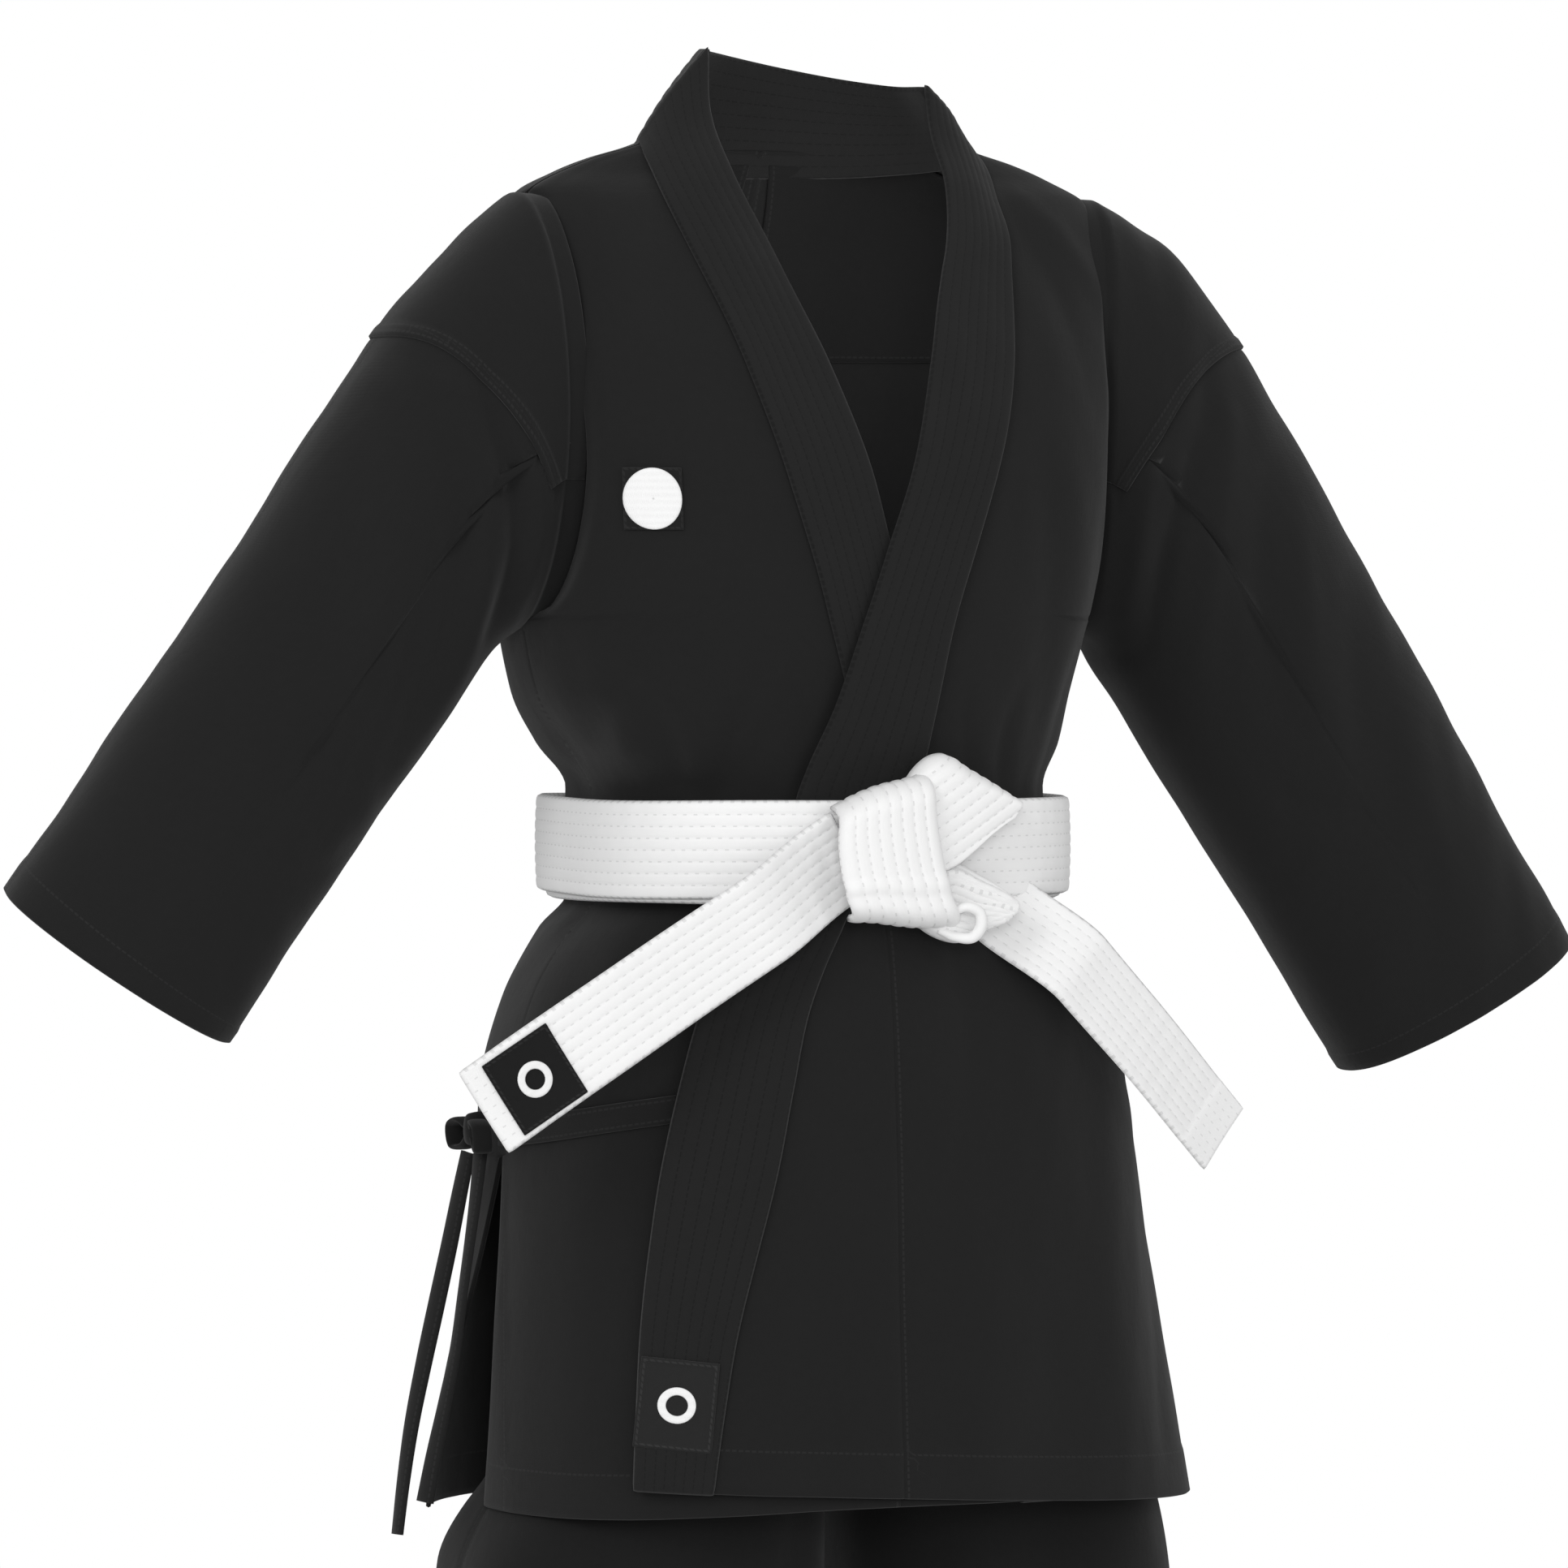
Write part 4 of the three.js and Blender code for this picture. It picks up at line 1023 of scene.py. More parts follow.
def cap_seam(angle):
    fold = np.abs((np.asarray(angle) + 180) % 360 - 180)
    share = np.maximum(0, np.cos(np.radians(fold * 90 / CAP_END)))
    return np.where(fold > CAP_END, -0.5, CAP_EDGE + (CAP_REACH - CAP_EDGE) * share)


def away_from_top(angle):
    """0 on a sleeve's top edge, 1 from 40 degrees round it."""
    return ease(np.abs((np.asarray(angle) + 180) % 360 - 180) / 40)


def sleeve_relief(points, arm):
    """Height of a sleeve's folds, the same for the tube, its dropped shoulder and its facing."""
    folds, seed = SLEEVE_FOLDS[arm], SLEEVE_SEED[arm]
    x, y, z = points[..., 0], points[..., 1], points[..., 2]
    front = ease((10 - y) / 20)
    mirrored = 0.8 * fold_height(x + 12 * np.sign(x), z - 10, folds)
    return (front * fold_height(x, z, folds) + (1 - front) * mirrored
            + ripples(x, z, seed, 60, 0.5) + ripples(x, z, seed + 1, 24, 0.14))


FELLED = 6.5                  # width of the flat seam at the end of the dropped shoulder

for arm, sleeve in SLEEVES.items():
    surface = sleeve_surface(sleeve)
    last = len(sleeve["over"]) - 1
    round_angles = np.linspace(0, 360, 132, endpoint=False)
    fold = np.abs((round_angles + 180) % 360 - 180)
    start = np.where(fold > CAP_END - 15, -0.55, np.maximum(cap_seam(round_angles) - 0.12, -0.55))
    share = np.linspace(0, 1, 112)[:, None]
    stations = start[None] * (1 - share) + last * share
    angles = np.broadcast_to(round_angles[None], stations.shape)
    inset = 1.1 * ease((cap_seam(angles) + 0.06 - stations) / 0.12)
    inset = np.maximum(inset, 3.2 * ease((0.02 - stations) / 0.15) * away_from_top(angles))
    sleeve_grid = surface(stations, angles, inset)
    centre = sleeve_grid.mean(1, keepdims=True)
    sleeve_grid = lift(sleeve_grid, sleeve_relief(sleeve_grid, arm), centre, ring=True)
    cuff_gap = (last - stations) * STATION_LENGTH
    relief = hem_band(cuff_gap, CUFF_DEPTH)
    around = np.broadcast_to(length_along(sleeve_grid[-1])[None], stations.shape)
    stitch = nearest_stitch([(around, cuff_gap - CUFF_DEPTH + HEM_STITCH)])
    piece = shell(f"{arm}_sleeve_tube", sleeve_grid, CLOTH, centre, ring=True, relief=relief, stitch=stitch)
    settle(piece, JACKET, [f"{arm}_sleeve"], bend=SLEEVE_BEND[arm])

    cap_angles = np.linspace(-CAP_END + 4, CAP_END - 4, 96)
    t = np.concatenate([np.linspace(0, 0.9, 46)[:-1], np.linspace(0.9, 1, 10)])[:, None]
    cap_end = cap_seam(cap_angles)[None]
    stations = -0.5 + (cap_end + 0.5) * t
    angles = np.broadcast_to(cap_angles[None], stations.shape)
    cap_grid = surface(stations, angles, 2.6 * ease((0.02 - stations) / 0.15) * away_from_top(angles))
    centre = surface(stations, angles, 40.0)
    cap_grid = lift(cap_grid, sleeve_relief(cap_grid, arm) + 0.5, centre)
    to_seam = from_bottom(cap_grid)
    band = 0.7 * ease((FELLED - to_seam) / 1.6)
    round_cap = from_end(cap_grid, last=False)
    stitch = nearest_stitch([(round_cap, to_seam - 1.5), (round_cap, to_seam - FELLED + 1.3)])
    piece = shell(f"{arm}_dropped_shoulder", cap_grid, CLOTH, centre, relief=band, stitch=stitch)
    settle(piece, JACKET, [f"{arm}_shoulder_cap"], bend=SLEEVE_BEND[arm])

    stations = np.linspace(last - CUFF_DEPTH / STATION_LENGTH, last - 0.02, 10)[:, None]
    stations = np.broadcast_to(stations, (10, len(round_angles)))
    angles = np.broadcast_to(round_angles[None], stations.shape)
    facing = surface(stations, angles, 1.9)
    facing = lift(facing, sleeve_relief(facing, arm), facing.mean(1, keepdims=True), ring=True)
    piece = shell(f"{arm}_cuff_turning", facing, 0.6, facing.mean(1, keepdims=True), ring=True)
    settle(piece, LINING, [f"{arm}_cuff_facing"], body=f"{arm}_arm")


# ---------------------------------------------------------------- belt
BELT_HALF = 1.5
BELT_ROWS = 5.0


def belt_ring(name, top, out, node, seed):
    rng = np.random.default_rng(seed)
    angles = np.linspace(-180, 180, 900)
    loop = even(on_body(angles, BELT_LINE, out), 420)[:-1]
    t = np.linspace(0, 1, 57)[:, None]
    phase = rng.uniform(0, 2 * np.pi, 4)
    s = length_along(loop)
    wave = sum(np.sin(2 * np.pi * (k + 2) * s / s[-1] + p) for k, p in enumerate(phase)) / 4
    grid = np.broadcast_to(loop[None], (len(t), *loop.shape)).copy()
    grid[..., 2] = top - BELT_WIDTH * t + 0.7 * wave[None]
    crown = 0.9 * np.sin(np.pi * t) ** 0.6 + 0.35 * wave[None]
    grid = lift(grid, crown, axis_of(grid), ring=True)
    v = np.broadcast_to(BELT_WIDTH * t, grid.shape[:2])
    u = np.broadcast_to(s[None], grid.shape[:2])
    pucker = 1 + 0.25 * np.sin(u / 2.3 + 3 * np.sin(u / 17))
    puff = quilt(v, BELT_ROWS, 0.34) * pucker
    piece = shell(name, grid, BELT_HALF, axis_of(grid), ring=True, relief=puff, places=weave(u, v))
    return settle(piece, BELT, [node])


INNER_OUT, OUTER_OUT = 7.7, 11.3
belt_ring("belt_first_turn", -289.2, INNER_OUT, "belt_inner_wrap", 3)
belt_ring("belt_second_turn", -287, OUTER_OUT, "belt_outer_wrap", 5)


def coons(top, right, bottom, left, rows, columns):
    """Surface spanned by four edges in the XZ plane; top and bottom run left to right,
    left and right run downwards."""
    top, bottom = spline(top, columns), spline(bottom, columns)
    left, right = spline(left, rows), spline(right, rows)
    s = np.linspace(0, 1, rows)[:, None, None]
    t = np.linspace(0, 1, columns)[None, :, None]
    ruled = (1 - s) * top[None] + s * bottom[None] + (1 - t) * left[:, None] + t * right[:, None]
    corners = ((1 - s) * (1 - t) * top[0] + (1 - s) * t * top[-1] + s * (1 - t) * bottom[0]
               + s * t * bottom[-1])
    flat = ruled - corners
    return flat[..., 0], flat[..., 1], s[..., 0] + 0 * t[..., 0], t[..., 0] + 0 * s[..., 0]


def knot_piece(name, edges, rows, columns, depth, row_line, node, height=0.5):
    """One visible fold of the knot. depth gives y from (s, t); row_line the distance across the
    stitched rows and along them, from (x, z, s, t)."""
    x, z, s, t = coons(*edges, rows, columns)
    grid = np.stack([x, depth(s, t, x, z), z], -1)
    along, across = row_line(x, z, s, t)
    puff = quilt(across, BELT_ROWS, height)
    piece = shell(name, grid, BELT_HALF, behind(grid), relief=puff, places=weave(along, across))
    return settle(piece, BELT, [node])


def turned(share, width):
    """1 in the middle, falling round to 0 at both ends of 0..1 within the given share."""
    near = np.clip(np.minimum(share, 1 - share) / width, 0, 1)
    return np.sqrt(1 - (1 - near) ** 2)


knot_piece(
    "knot_front_band",
    edges=(
        [(-30.5, -289.5), (-23, -285.5), (-13, -281.5), (0, -278.5), (10.5, -276)],
        [(10.5, -276), (10.5, -290), (12.6, -304.6), (15.5, -318), (19.5, -330), (25, -338.5)],
        [(-23, -336), (-14.4, -336.2), (1.4, -338.2), (12, -339), (25, -338.5)],
        [(-30.5, -289.5), (-31.8, -303), (-30.5, -315), (-27, -329), (-23, -336)],
    ),
    rows=80, columns=64,
    depth=lambda s, t, x, z: -(107 + 13.0 * turned(s, 0.16) + 2.6 * turned(t, 0.1)
                               + 1.6 * np.sin(np.pi * t) + 1.2 * np.exp(-((s - 0.70) / 0.05) ** 2)),
    row_line=lambda x, z, s, t: (s * 66, t * 40),
    node="knot_wrap",
)
ROW_ALONG = np.array([0.847, 0.531])
knot_piece(
    "knot_upper_band",
    edges=(
        [(6, -278), (10, -273), (15, -269), (20.5, -267.8), (33, -274), (46, -281.2), (57, -288)],
        [(57, -288), (55, -290.5), (52.5, -293)],
        [(6, -320), (15, -316.5), (24, -313), (32, -307.5), (41, -300.5), (52.5, -293)],
        [(6, -278), (5, -299), (6, -320)],
    ),
    rows=64, columns=64,
    depth=lambda s, t, x, z: -(104 + 10.5 * turned(s * 0.5, 0.10) - 5.0 * t ** 2
                               + 1.5 * np.sin(np.pi * s) * (1 - t)),
    row_line=lambda x, z, s, t: (x * ROW_ALONG[0] + z * ROW_ALONG[1] + 200,
                                 -x * ROW_ALONG[1] + z * ROW_ALONG[0] + 400),
    node="knot_upper_fold",
)
knot_piece(
    "knot_gathered_band",
    edges=(
        [(8, -312), (16, -315), (24, -313.3), (36, -318.5), (47.4, -325), (52, -328.6)],
        [(52, -328.6), (54, -332.4), (50, -336.5), (45.5, -339)],
        [(8, -337), (15, -342), (22, -345), (29, -346), (37, -342.5), (45.5, -339)],
        [(8, -312), (7, -324), (8, -337)],
    ),
    rows=90, columns=72,
    depth=lambda s, t, x, z: -(105.5 + 9.0 * turned(s, 0.2) - 2.5 * t
                               - 1.3 * np.abs(np.sin(np.pi * 7.5 * np.clip(s * 1.25 - 0.08 * t, 0, 1)))
                               * ease((0.95 - s) / 0.2) * ease(t / 0.1)),
    row_line=lambda x, z, s, t: (t * 50, s * 40),
    node="knot_lower_fold", height=0.0,
)


def knot_curl():
    """Rolled lip at the knot's foot, open towards the wearer's right."""
    path = spline([(20, -117.5, -334), (27, -119.5, -331.5), (32.5, -120, -334), (33.5, -119.5, -339.5),
                   (30.5, -117.5, -344.5), (24, -114.5, -344.5), (17, -112, -341.5)], 60)
    along = unit(np.gradient(path, axis=0))
    side = unit(np.cross(along, [0, 1, 0]))
    front = unit(np.cross(side, along))
    around = np.radians(np.linspace(0, 360, 24, endpoint=False))
    s = np.linspace(0, 1, len(path))[:, None]
    across = (1.2 + 0.8 * np.sin(np.pi * s)) * np.cos(around)[None]
    deep = (1.3 + 0.7 * np.sin(np.pi * s)) * np.sin(around)[None]
    grid = tube(path, side, front, across, deep)
    return shell("knot_curled_lip", grid, 0.5, path[:, None], ring=True)


settle(knot_curl(), BELT_HEM, [])


def tail_axes(drop, turn):
    """Directions along, across and through a belt end, from its slope and turn in degrees."""
    d, t = math.radians(drop), math.radians(turn)
    flat = np.array([math.cos(t), math.sin(t), 0])
    along = flat * math.cos(d) - np.array([0, 0, math.sin(d)])
    across = flat * math.sin(d) + np.array([0, 0, math.cos(d)])
    return along, across, np.array([-math.sin(t), math.cos(t), 0])


def tail_wave(s, t, length, seed):
    """Depth of a belt end's own twist and sway at s along it and t across it."""
    phase = np.random.default_rng(seed).uniform(0, 2 * np.pi, 3)
    twist = 1.5 * np.sin(s / length * 2.4 + phase[0]) * t * 2
    sway = 0.5 * np.sin(s / 31 + phase[1]) + 0.3 * np.sin(s / 13 + phase[2])
    return twist + sway + 0.5 * np.cos(np.pi * t), 0.5 * np.sin(s / 44 + phase[0])


def belt_tail(name, root, drop, turn, length, width, bend_at, node, body, seed):
    """Free end of the belt; it leaves the knot from behind its front band."""
    direction, sideways, through = tail_axes(drop, turn)
    inside = 14
    s = np.linspace(-inside, length, round((length + inside) / 1.25))[:, None]
    t = np.linspace(-0.5, 0.5, 57)[None, :]
    wave, drift = tail_wave(s, t, length, seed)
    grid = (np.array(root, float) + direction * s[..., None]
            + sideways * (t * width + drift)[..., None]
            + through * (bend_at(s) + wave)[..., None])
    v = (t + 0.5) * BELT_WIDTH + 0 * s
    u = s + 0 * t
    pucker = 1 + 0.3 * np.sin(u / 2.2 + 3 * np.sin(u / 15))
    puff = quilt(v, BELT_ROWS, 0.34) * pucker
    puff = puff * ease((length - 18 - u) / 3) + 0.5 * ease((u - length + 19) / 2.5)
    piece = shell(name, grid, BELT_HALF, behind(grid), relief=puff, places=weave(u, v))
    return settle(piece, BELT, [node], body=body)


def behind_wrap(s):
    """Extra depth of the right end close to the knot, where it lies on the turns."""
    return 14.0 * (1 - ease((s + 4) / 46))


def below_turns(s):
    """The left end comes out from under the belt's lower edge."""
    return 22.0 * (1 - ease((s + 2) / 44))


RIGHT_ROOT, RIGHT_DROP, RIGHT_LENGTH = (-33, -118, -315), 148, 187
LEFT_ROOT, LEFT_DROP, LEFT_TURN, LEFT_LENGTH = (59, -112, -331), 44, 15, 151
RIGHT_WIDTH, LEFT_WIDTH = 38.0, 34.0
belt_tail("belt_right_end", RIGHT_ROOT, RIGHT_DROP, 0, RIGHT_LENGTH, RIGHT_WIDTH,
          behind_wrap, "right_belt_tail", "right_tail", 8)
belt_tail("belt_left_end", LEFT_ROOT, LEFT_DROP, LEFT_TURN, LEFT_LENGTH, LEFT_WIDTH,
          below_turns, "left_belt_tail", "left_tail", 9)


# ---------------------------------------------------------------- badges
def flat_badge(name, middle, across, up, size, half, material, nodes, curve, body=None,
               bend=None, border=2.0):
    """Woven patch with a raised sewn border on a surface given by curve(points)."""
    w, h = size
    a, b = np.meshgrid(np.linspace(-0.5, 0.5, 60), np.linspace(0.5, -0.5, 60))
    grid = middle + across * (a * w)[..., None] + up * (b * h)[..., None]
    grid = curve(grid)
    edge = np.minimum((0.5 - np.abs(a)) * w, (0.5 - np.abs(b)) * h)
    relief = 0.35 * ease((border - edge) / 0.7)
    places = weave(a * w, -b * h)
    stitch = np.stack([(a * w) + (b * h), edge - border * 0.5], -1)
    piece = shell(name, grid, half, behind(grid), relief=relief, stitch=stitch, places=places)
    return settle(piece, material, nodes, body=body, bend=bend)


def disc(name, middle, across, up, radius, material, curve, hole, body=None, bend=None):
    """Plain round mark in satin stitch, the same generic mark on every patch."""
    r = np.linspace(hole, radius, 14)[:, None]
    a = np.radians(np.linspace(0, 360, 72, endpoint=False))[None]
    grid = middle + across * (r * np.cos(a))[..., None] + up * (r * np.sin(a))[..., None]
    grid = curve(grid)
    rim = 0.25 * ease((radius - r) / 0.8) * ease((r - hole + 0.3) / 0.8) + 0 * a
    places = weave(r * np.cos(a), r * np.sin(a) * 0.2)
    piece = shell(name, grid, 0.3, behind(grid), ring=True, relief=rim, places=places)
    return settle(piece, material, [], body=body, bend=bend)


def on_front(out):
    """Lays points on the body's front at their own sideways places and heights."""
    def curve(points):
        x, z = points[..., 0], points[..., 2]
        laid = on_body(front_angle(x, z), z, out)
        return lift(laid, cloth_relief(laid), axis_of(laid))
    return curve


X_AXIS, Z_AXIS = np.array([1.0, 0, 0]), np.array([0, 0, 1.0])
CHEST_MARK, CHEST_RADIUS = np.array([-101.0, -80, -157]), 13.0
flat_badge("chest_mark_base", CHEST_MARK, X_AXIS * 0.84, Z_AXIS, (26, 26), 0.35, JACKET,
           ["chest_badge"], bend=SLEEVE_BEND["right"], curve=on_front(-LAYER + 1.4), border=1.0)
disc("chest_mark", CHEST_MARK, X_AXIS * 0.84, Z_AXIS, CHEST_RADIUS, SATIN_WHITE,
     bend=SLEEVE_BEND["right"], curve=on_front(-LAYER + 2.1), hole=0.05)
PATCH_MIDDLE, PATCH_TILT = np.array([-94.5, -100, -542]), math.radians(6)
PATCH_ACROSS = np.array([math.cos(PATCH_TILT) * 0.93, 0, math.sin(PATCH_TILT) * -1])
PATCH_UP = np.array([math.sin(PATCH_TILT), 0, math.cos(PATCH_TILT)])
PATCH_OUT = LAYER + LAPEL_OUT + LAPEL_HALF + 0.9
flat_badge("lapel_square", PATCH_MIDDLE, PATCH_ACROSS, PATCH_UP, (31, 38), 0.35, WOVEN_GREY,
           ["lapel_patch"], curve=on_front(PATCH_OUT), border=2.2)
disc("lapel_square_mark", PATCH_MIDDLE, PATCH_ACROSS, PATCH_UP, 7.5, SATIN_WHITE,
     curve=on_front(PATCH_OUT + 0.7), hole=4.6)

TAIL_DIRECTION, TAIL_SIDE, _ = tail_axes(RIGHT_DROP, 0)


def on_tail(out):
    """Lays points on the front of the belt's right end."""
    def curve(points):
        offset = points - np.array(RIGHT_ROOT)
        wave, _ = tail_wave(offset @ TAIL_DIRECTION, offset @ TAIL_SIDE / RIGHT_WIDTH, RIGHT_LENGTH, 8)
        laid = points.copy()
        laid[..., 1] = RIGHT_ROOT[1] + wave - out
        return laid
    return curve


END_PATCH_PLACE = RIGHT_LENGTH - 25
end_patch_middle = np.array(RIGHT_ROOT) + TAIL_DIRECTION * END_PATCH_PLACE
flat_badge("belt_end_square", end_patch_middle, TAIL_DIRECTION, TAIL_SIDE, (33, 34), 0.35,
           WOVEN_BLACK, ["belt_end_patch"], body="right_tail", curve=on_tail(2.5))
disc("belt_end_mark", end_patch_middle, TAIL_DIRECTION, TAIL_SIDE, 7.5, SATIN_WHITE,
     body="right_tail", curve=on_tail(3.2), hole=4.6)


# ---------------------------------------------------------------- side tie
def tie_tape():
    count = 90
    angle = np.linspace(-90, front_angle(-95.0, -417.0), count)
    share = np.linspace(0, 1, count)
    line = np.stack([on_body(a, z, 0.0) for a, z in zip(angle, -431 + 14 * share)])
    across = np.linspace(0.5, -0.5, 14)[:, None] * TAPE_WIDTH
    z = line[None, :, 2] + across
    body_angle = np.broadcast_to(angle[None], z.shape)
    grid = on_body(body_angle, z, layer_out(body_angle, -LAYER) + 2.0)
    grid = lift(grid, cloth_relief(grid), axis_of(grid))
    edge = TAPE_WIDTH / 2 - np.abs(across) + 0 * z
    stitch = np.stack([length_along(line)[None] + 0 * z, edge - 1.4], -1)
    piece = shell("side_tie_tape", grid, 0.6, axis_of(grid), stitch=stitch)
    return settle(piece, JACKET, ["tie_band"])


tie_tape()
TIE_KNOT = np.array([-150.0, 8, -430])


def tie_knot():
    """Tape wound round itself two and a half times, with a short bow loop each side."""
    turns = np.linspace(0, 2.6 * 2 * np.pi, 160)
    share = turns / turns[-1]
    path = TIE_KNOT + np.stack([4.0 * np.sin(turns), 5.5 * np.cos(turns) * (0.75 + 0.25 * share),
                                6.0 * (0.5 - share) + 2.4 * np.sin(turns * 0.5)], -1)
    along = unit(np.gradient(path, axis=0))
    outer = unit(path - (TIE_KNOT + (path - TIE_KNOT) * [0, 0, 0.8]))
    wide = unit(np.cross(along, outer))
    around = np.radians(np.linspace(0, 360, 20, endpoint=False))
    across = 3.6 * bulge(np.cos(around), 0.6)
    deep = 1.3 * np.sin(around)
    grid = tube(path, wide, outer, across, deep)
    knot = shell("side_tie_knot", grid, 0.3, path[:, None], ring=True)
    loops = []
    for sign in (-1, 1):
        bow = spline([TIE_KNOT + p for p in np.array(
            [(0, 2 * sign, 0), (-3, 9 * sign, 4), (-4, 17 * sign, 1), (-3, 16 * sign, -8),
             (-1, 8 * sign, -7), (0, 2 * sign, -2)], float)], 70)
        direction = unit(np.gradient(bow, axis=0))
        side = np.broadcast_to(np.array([1.0, 0, 0]), direction.shape)
        thin = unit(np.cross(side, direction))
        ribbon = tube(bow, side, thin, 4.2 * bulge(np.cos(around), 0.6), 0.9 * np.sin(around))
        loops.append(shell(f"side_tie_loop_{sign}", ribbon, 0.25, bow[:, None], ring=True))
    return settle(joined("side_tie_knot", [knot, *loops]), JACKET, ["tie_bow_knot"])


tie_knot()


# ---------------------------------------------------------------- trousers
SEAT_AT, LEG_AT = reader(SEAT), reader(LEG)


def on_seat(angle, z, inset=0.0):
    width, depth = np.moveaxis(SEAT_AT(z), -1, 0)
    a = np.radians(angle)
    return np.stack([(width - inset) * bulge(np.sin(a), 0.8), -(depth - inset) * bulge(np.cos(a), 0.8),
                     z + 0 * angle], -1)


def waist_ring(name, top, bottom, inset, half, material, node, gathers):
    angles = np.linspace(-180, 180, 361)[:-1][None]
    z = np.linspace(top, bottom, 22)[:, None]
    grid = on_seat(angles + 0 * z, TROUSER_WAIST + 0 * angles + 0 * z, inset)
    grid[..., 2] = z + 0 * angles
    ruffle = gathers * (np.sin(np.radians(angles * 46)) + 0.5 * np.sin(np.radians(angles * 71) + 1))
    grid = lift(grid, ruffle * np.ones_like(z), axis_of(grid), ring=True)
    channel = quilt((z - bottom) / (top - bottom) * 38 + 0 * angles, 12.7, 0.8)
    piece = shell(name, grid, half, axis_of(grid), ring=True, relief=channel * (gathers > 0))
    return settle(piece, material, [node])


waist_ring("trouser_waistband", -268, -306, 0.0, 0.8, TROUSER, "waistband", 0.5)
waist_ring("trouser_elastic", -272, -302, 3.6, 0.7, ELASTIC, "waist_elastic", 0.0)

for leg, leg_side in SIDES.items():
    for face, first_angle, last_angle in (("front", 0, 90), ("back", 90, 180)):
        z = np.linspace(SEAT_TOP, SEAT_BOTTOM, 82)[:, None]
        angle = leg_side * np.linspace(first_angle, last_angle, 60)[None]
        grid = on_seat(angle + 0 * z, z + 0 * angle)
        edge = np.minimum(from_end(grid), from_end(grid, last=False))
        gather = 0.5 * np.sin(np.radians(angle * 46)) * ease((z + 360) / 50)
        ripple = ripples(grid[..., 0] + 0.5 * grid[..., 1], grid[..., 2], 41, 60, 0.7)
        grid = lift(grid, gather + ripple + seam_dip(edge, 0.8, 1.4), axis_of(grid))
        stitch = nearest_stitch([(from_bottom(grid), edge - 2.2)])
        piece = shell(f"{leg}_trouser_{face}", grid, 0.8, axis_of(grid), stitch=stitch)
        settle(piece, TROUSER, [f"trouser_{leg}_{face}"], bend=leg_bend(leg))


def leg_grid(side, z, angles, inset=0.0):
    inner, outer, depth, shift = np.moveaxis(LEG_AT(z), -1, 0)
    a = np.radians(angles)
    x = shift + side * ((inner + outer) / 2 + ((outer - inner) / 2 - inset) * bulge(np.cos(a), 0.8))
    return np.stack([x, (depth - inset) * bulge(np.sin(a), 0.8), z + 0 * a], -1)


LEG_TOP, LEG_HEM_DEPTH = -545, 25
RIGHT_LEG_FLARE = 14.0        # how far the right leg stands out below the jacket
MIRRORED_FOLDS = [([(-x, z) for x, z in points], width, depth) for points, width, depth in LEG_FOLDS]
FOLDS_OF_LEG = {"right": LEG_FOLDS, "left": MIRRORED_FOLDS}
LEG_SEED = {"right": 51, "left": 52}
for leg, leg_side in SIDES.items():
    z = np.linspace(LEG_TOP, TROUSER_HEM, 181)[:, None]
    raw = np.linspace(0, 360, 901)[:-1]
    grid = np.stack([even(leg_grid(leg_side, np.full_like(raw, level), raw), 151)[:-1]
                     for level in z[:, 0]])
    grid[..., 2] = z
    if leg == "right":
        outer_share = ease((-60 - grid[..., 0]) / 80)
        grid[..., 0] -= RIGHT_LEG_FLARE * outer_share * ease((-572 - z) / 50) * ease((z - TROUSER_HEM) / 350)
    centre = grid.mean(1, keepdims=True)
    folds = fold_height(grid[..., 0], grid[..., 2], FOLDS_OF_LEG[leg])
    ripple = ripples(grid[..., 0] + 0.6 * grid[..., 1], grid[..., 2], LEG_SEED[leg], 70, 0.8)
    from_side = np.abs(grid[..., 1])
    outer_seam = np.where(leg_side * (grid[..., 0] - centre[..., 0]) > 0, from_side, 50)
    grid = lift(grid, folds + ripple + seam_dip(outer_seam, 0.7, 1.5), centre, ring=True)
    hem_gap = (z - TROUSER_HEM) + 0 * grid[..., 0]
    around = np.broadcast_to(length_along(grid[-1])[None], hem_gap.shape)
    stitch = nearest_stitch([
        (around, hem_gap - LEG_HEM_DEPTH + HEM_STITCH),
        (around, hem_gap - LEG_HEM_DEPTH / 2),
        (grid[..., 2], outer_seam - 2.4),
    ])
    piece = shell(f"{leg}_trouser_leg_tube", grid, 0.8, centre, ring=True,
                  relief=hem_band(hem_gap, LEG_HEM_DEPTH, 0.6), stitch=stitch)
    settle(piece, TROUSER, [f"{leg}_leg_front", f"{leg}_leg_back"], bend=leg_bend(leg))

    inner_grid = grid[-9:] - unit(grid[-9:] - centre[-9:]) * 1.9
    inner_grid[-1, :, 2] += 1.2
    piece = shell(f"{leg}_trouser_hem_turning", inner_grid, 0.6, centre[-9:], ring=True)
    settle(piece, TROUSER, [f"{leg}_leg_hem_facing"], body=f"{leg}_trouser_leg")


def gusset():
    y = np.linspace(-72, 72, 70)[:, None]
    x = np.linspace(-11, 11, 14)[None]
    z = CROTCH - 12 * np.cos(np.radians(y / 70 * 80)) - 0.032 * x ** 2
    grid = np.stack([x + 0 * y, y + 0 * x, z + 0 * x], -1)
    piece = shell("trouser_gusset", grid, 0.8, grid + [0, 0, 50])
    return settle(piece, TROUSER, ["crotch_gusset"])


gusset()


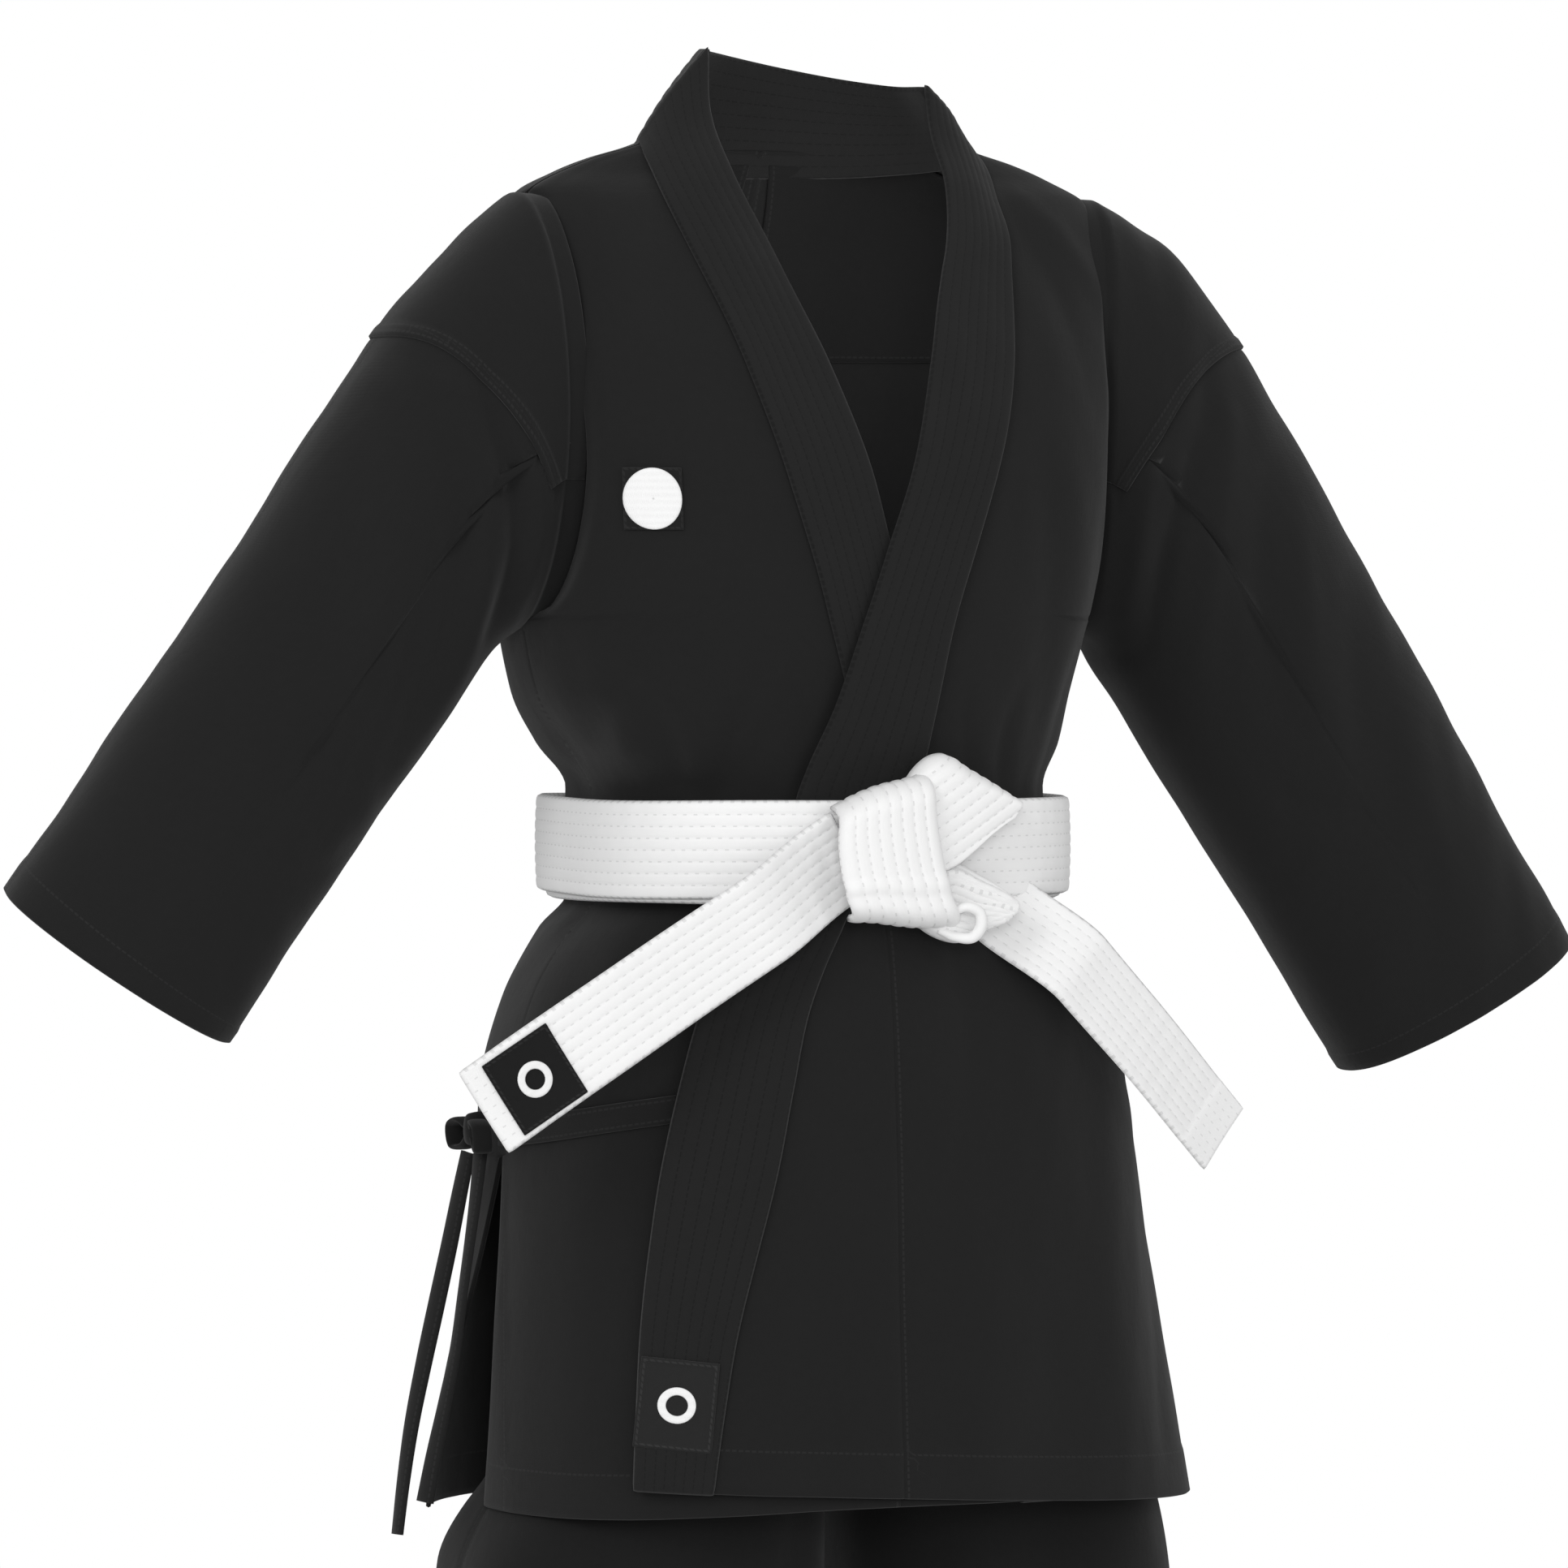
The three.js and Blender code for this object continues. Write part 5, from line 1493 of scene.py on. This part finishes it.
# ---------------------------------------------------------------- sheets
def flat_size(name):
    """Width, length and area of a piece's cloth laid flat, in metres, from its middle surface."""
    mid, ring = SURFACES[name]
    mid = (np.concatenate([mid, mid[:, :1]], 1) if ring else mid) * METRE
    down, across = mid[1:, :-1] - mid[:-1, :-1], mid[:-1, 1:] - mid[:-1, :-1]
    area = np.linalg.norm(np.cross(down, across), axis=-1).sum()
    width = np.linalg.norm(np.diff(mid, axis=1), axis=-1).sum(1).max()
    length = np.linalg.norm(np.diff(mid, axis=0), axis=-1).sum(0).max()
    return (math.ceil(width * 1000) / 1000, math.ceil(length * 1000) / 1000), float(area)


GATHER = 1.25                 # cut width of gathered cloth over the width it is drawn up to
SHEETS = [
    ("collar_band", "folded", ["right_lapel_band", "left_lapel_band"]),
    ("belt_first_turn", "draped", ["left_front"]),
    ("belt_second_turn", "draped", ["belt_first_turn"]),
    ("belt_right_end", "hung", ["belt_second_turn"]),
    ("belt_left_end", "hung", ["belt_second_turn"]),
    ("knot_front_band", "folded", ["belt_second_turn"]),
    ("knot_upper_band", "folded", ["belt_second_turn"]),
    ("knot_gathered_band", "gathered", ["belt_second_turn"]),
    ("side_tie_tape", "stretched", ["right_front"]),
    ("trouser_waistband", "gathered", ["trouser_elastic"]),
    ("trouser_elastic", "gathered", ["trouser_waistband"]),
    ("trouser_gusset", "hung", ["right_trouser_front"]),
    ("lapel_square", "laid", ["left_lapel_band"]),
    ("belt_end_square", "laid", ["belt_right_end"]),
    ("chest_mark_base", "laid", ["right_front"]),
]
for arm in SIDES:
    SHEETS += [
        (f"{arm}_front", "hung", [f"{arm}_lapel_band", f"{arm}_dropped_shoulder"]),
        (f"{arm}_front_overlap", "hung", [f"{arm}_front"]),
        (f"{arm}_lapel_band", "hung", ["collar_band"]),
        (f"back_{arm}", "hung", ["collar_band"]),
        (f"back_{arm}_skirt", "hung", [f"back_{arm}"]),
        (f"{arm}_yoke_lining", "hung", [f"back_{arm}"]),
        (f"{arm}_vent_square", "laid", [f"back_{arm}_skirt"]),
        (f"{arm}_dropped_shoulder", "draped", [f"{arm}_front"]),
        (f"{arm}_sleeve_tube", "hung", [f"{arm}_dropped_shoulder"]),
        (f"{arm}_cuff_turning", "folded", [f"{arm}_sleeve_tube"]),
        (f"{arm}_trouser_front", "hung", ["trouser_waistband"]),
        (f"{arm}_trouser_back", "hung", ["trouser_waistband"]),
        (f"{arm}_trouser_leg_tube", "hung", [f"{arm}_trouser_front"]),
        (f"{arm}_trouser_hem_turning", "folded", [f"{arm}_trouser_leg_tube"]),
    ]
for sheet_name, held, support in SHEETS:
    flat, area = flat_size(sheet_name)
    if held == "gathered":
        flat, area = (flat[0] * GATHER, flat[1]), area * GATHER
    area = min(max(area, 0.3 * flat[0] * flat[1]), flat[0] * flat[1])
    print(f"sheet {sheet_name}: {flat[0]:.3f} x {flat[1]:.3f} m, {area:.4f} m2, {held}")


# ---------------------------------------------------------------- stage and light
def make_stage():
    floor_gap = 0.004
    bpy.ops.mesh.primitive_circle_add(vertices=96, radius=2.4, fill_type="NGON",
                                      location=(0, 0, CAD_BOX[0].z - floor_gap))
    floor = bpy.context.object
    floor.name = "studio_floor"
    g = Graph("studio_floor")
    place = g.node("ShaderNodeTexCoord").outputs["Object"]
    g.put(g.shader.inputs["Base Color"], g.mix(g.noise(place, 3.0), grey(0.78), grey(0.82)))
    g.shader.inputs["Roughness"].default_value = 0.9
    floor.data.materials.append(g.material)


def make_world():
    world = bpy.data.worlds.new("studio")
    bpy.context.scene.world = world
    world.use_nodes = True
    nodes, links = world.node_tree.nodes, world.node_tree.links
    nodes.clear()
    seen, lit = nodes.new("ShaderNodeBackground"), nodes.new("ShaderNodeBackground")
    lit.inputs["Strength"].default_value = 0.62
    for background in (seen, lit):
        background.inputs["Color"].default_value = (1, 1, 1, 1)
    path, mix = nodes.new("ShaderNodeLightPath"), nodes.new("ShaderNodeMixShader")
    output = nodes.new("ShaderNodeOutputWorld")
    links.new(path.outputs["Is Camera Ray"], mix.inputs[0])
    links.new(lit.outputs[0], mix.inputs[1])
    links.new(seen.outputs[0], mix.inputs[2])
    links.new(mix.outputs[0], output.inputs[0])


# Name, place, the point aimed at, diameter (all in metres) and power in watts.
LIGHTS = [
    ("key", (-2.6, -1.9, 1.3), (0, 0, -0.3), 1.6, 30),
    ("front", (-1.15, -3.0, 0.25), (0, 0, -0.25), 1.0, 22),
    ("inside", (0.0, -0.03, -0.09), (0.0, 0.1, -0.10), 0.16, 0.13),   # lights the back's inner side
    ("fill", (1.2, -3.2, 0.6), (0, 0, -0.4), 2.0, 10),
]


def area_light(name, place, aim, size, power):
    data = bpy.data.lights.new(name, "AREA")
    data.shape = "DISK"
    data.size = size
    data.energy = power
    light = bpy.data.objects.new(name, data)
    light.location = place
    light.visible_camera = False
    light.rotation_mode = "QUATERNION"
    light.rotation_quaternion = (Vector(aim) - Vector(place)).to_track_quat("-Z", "Y")
    bpy.context.collection.objects.link(light)


make_stage()
make_world()
for light in LIGHTS:
    area_light(*light)
bpy.context.scene.view_settings.view_transform = "Standard"
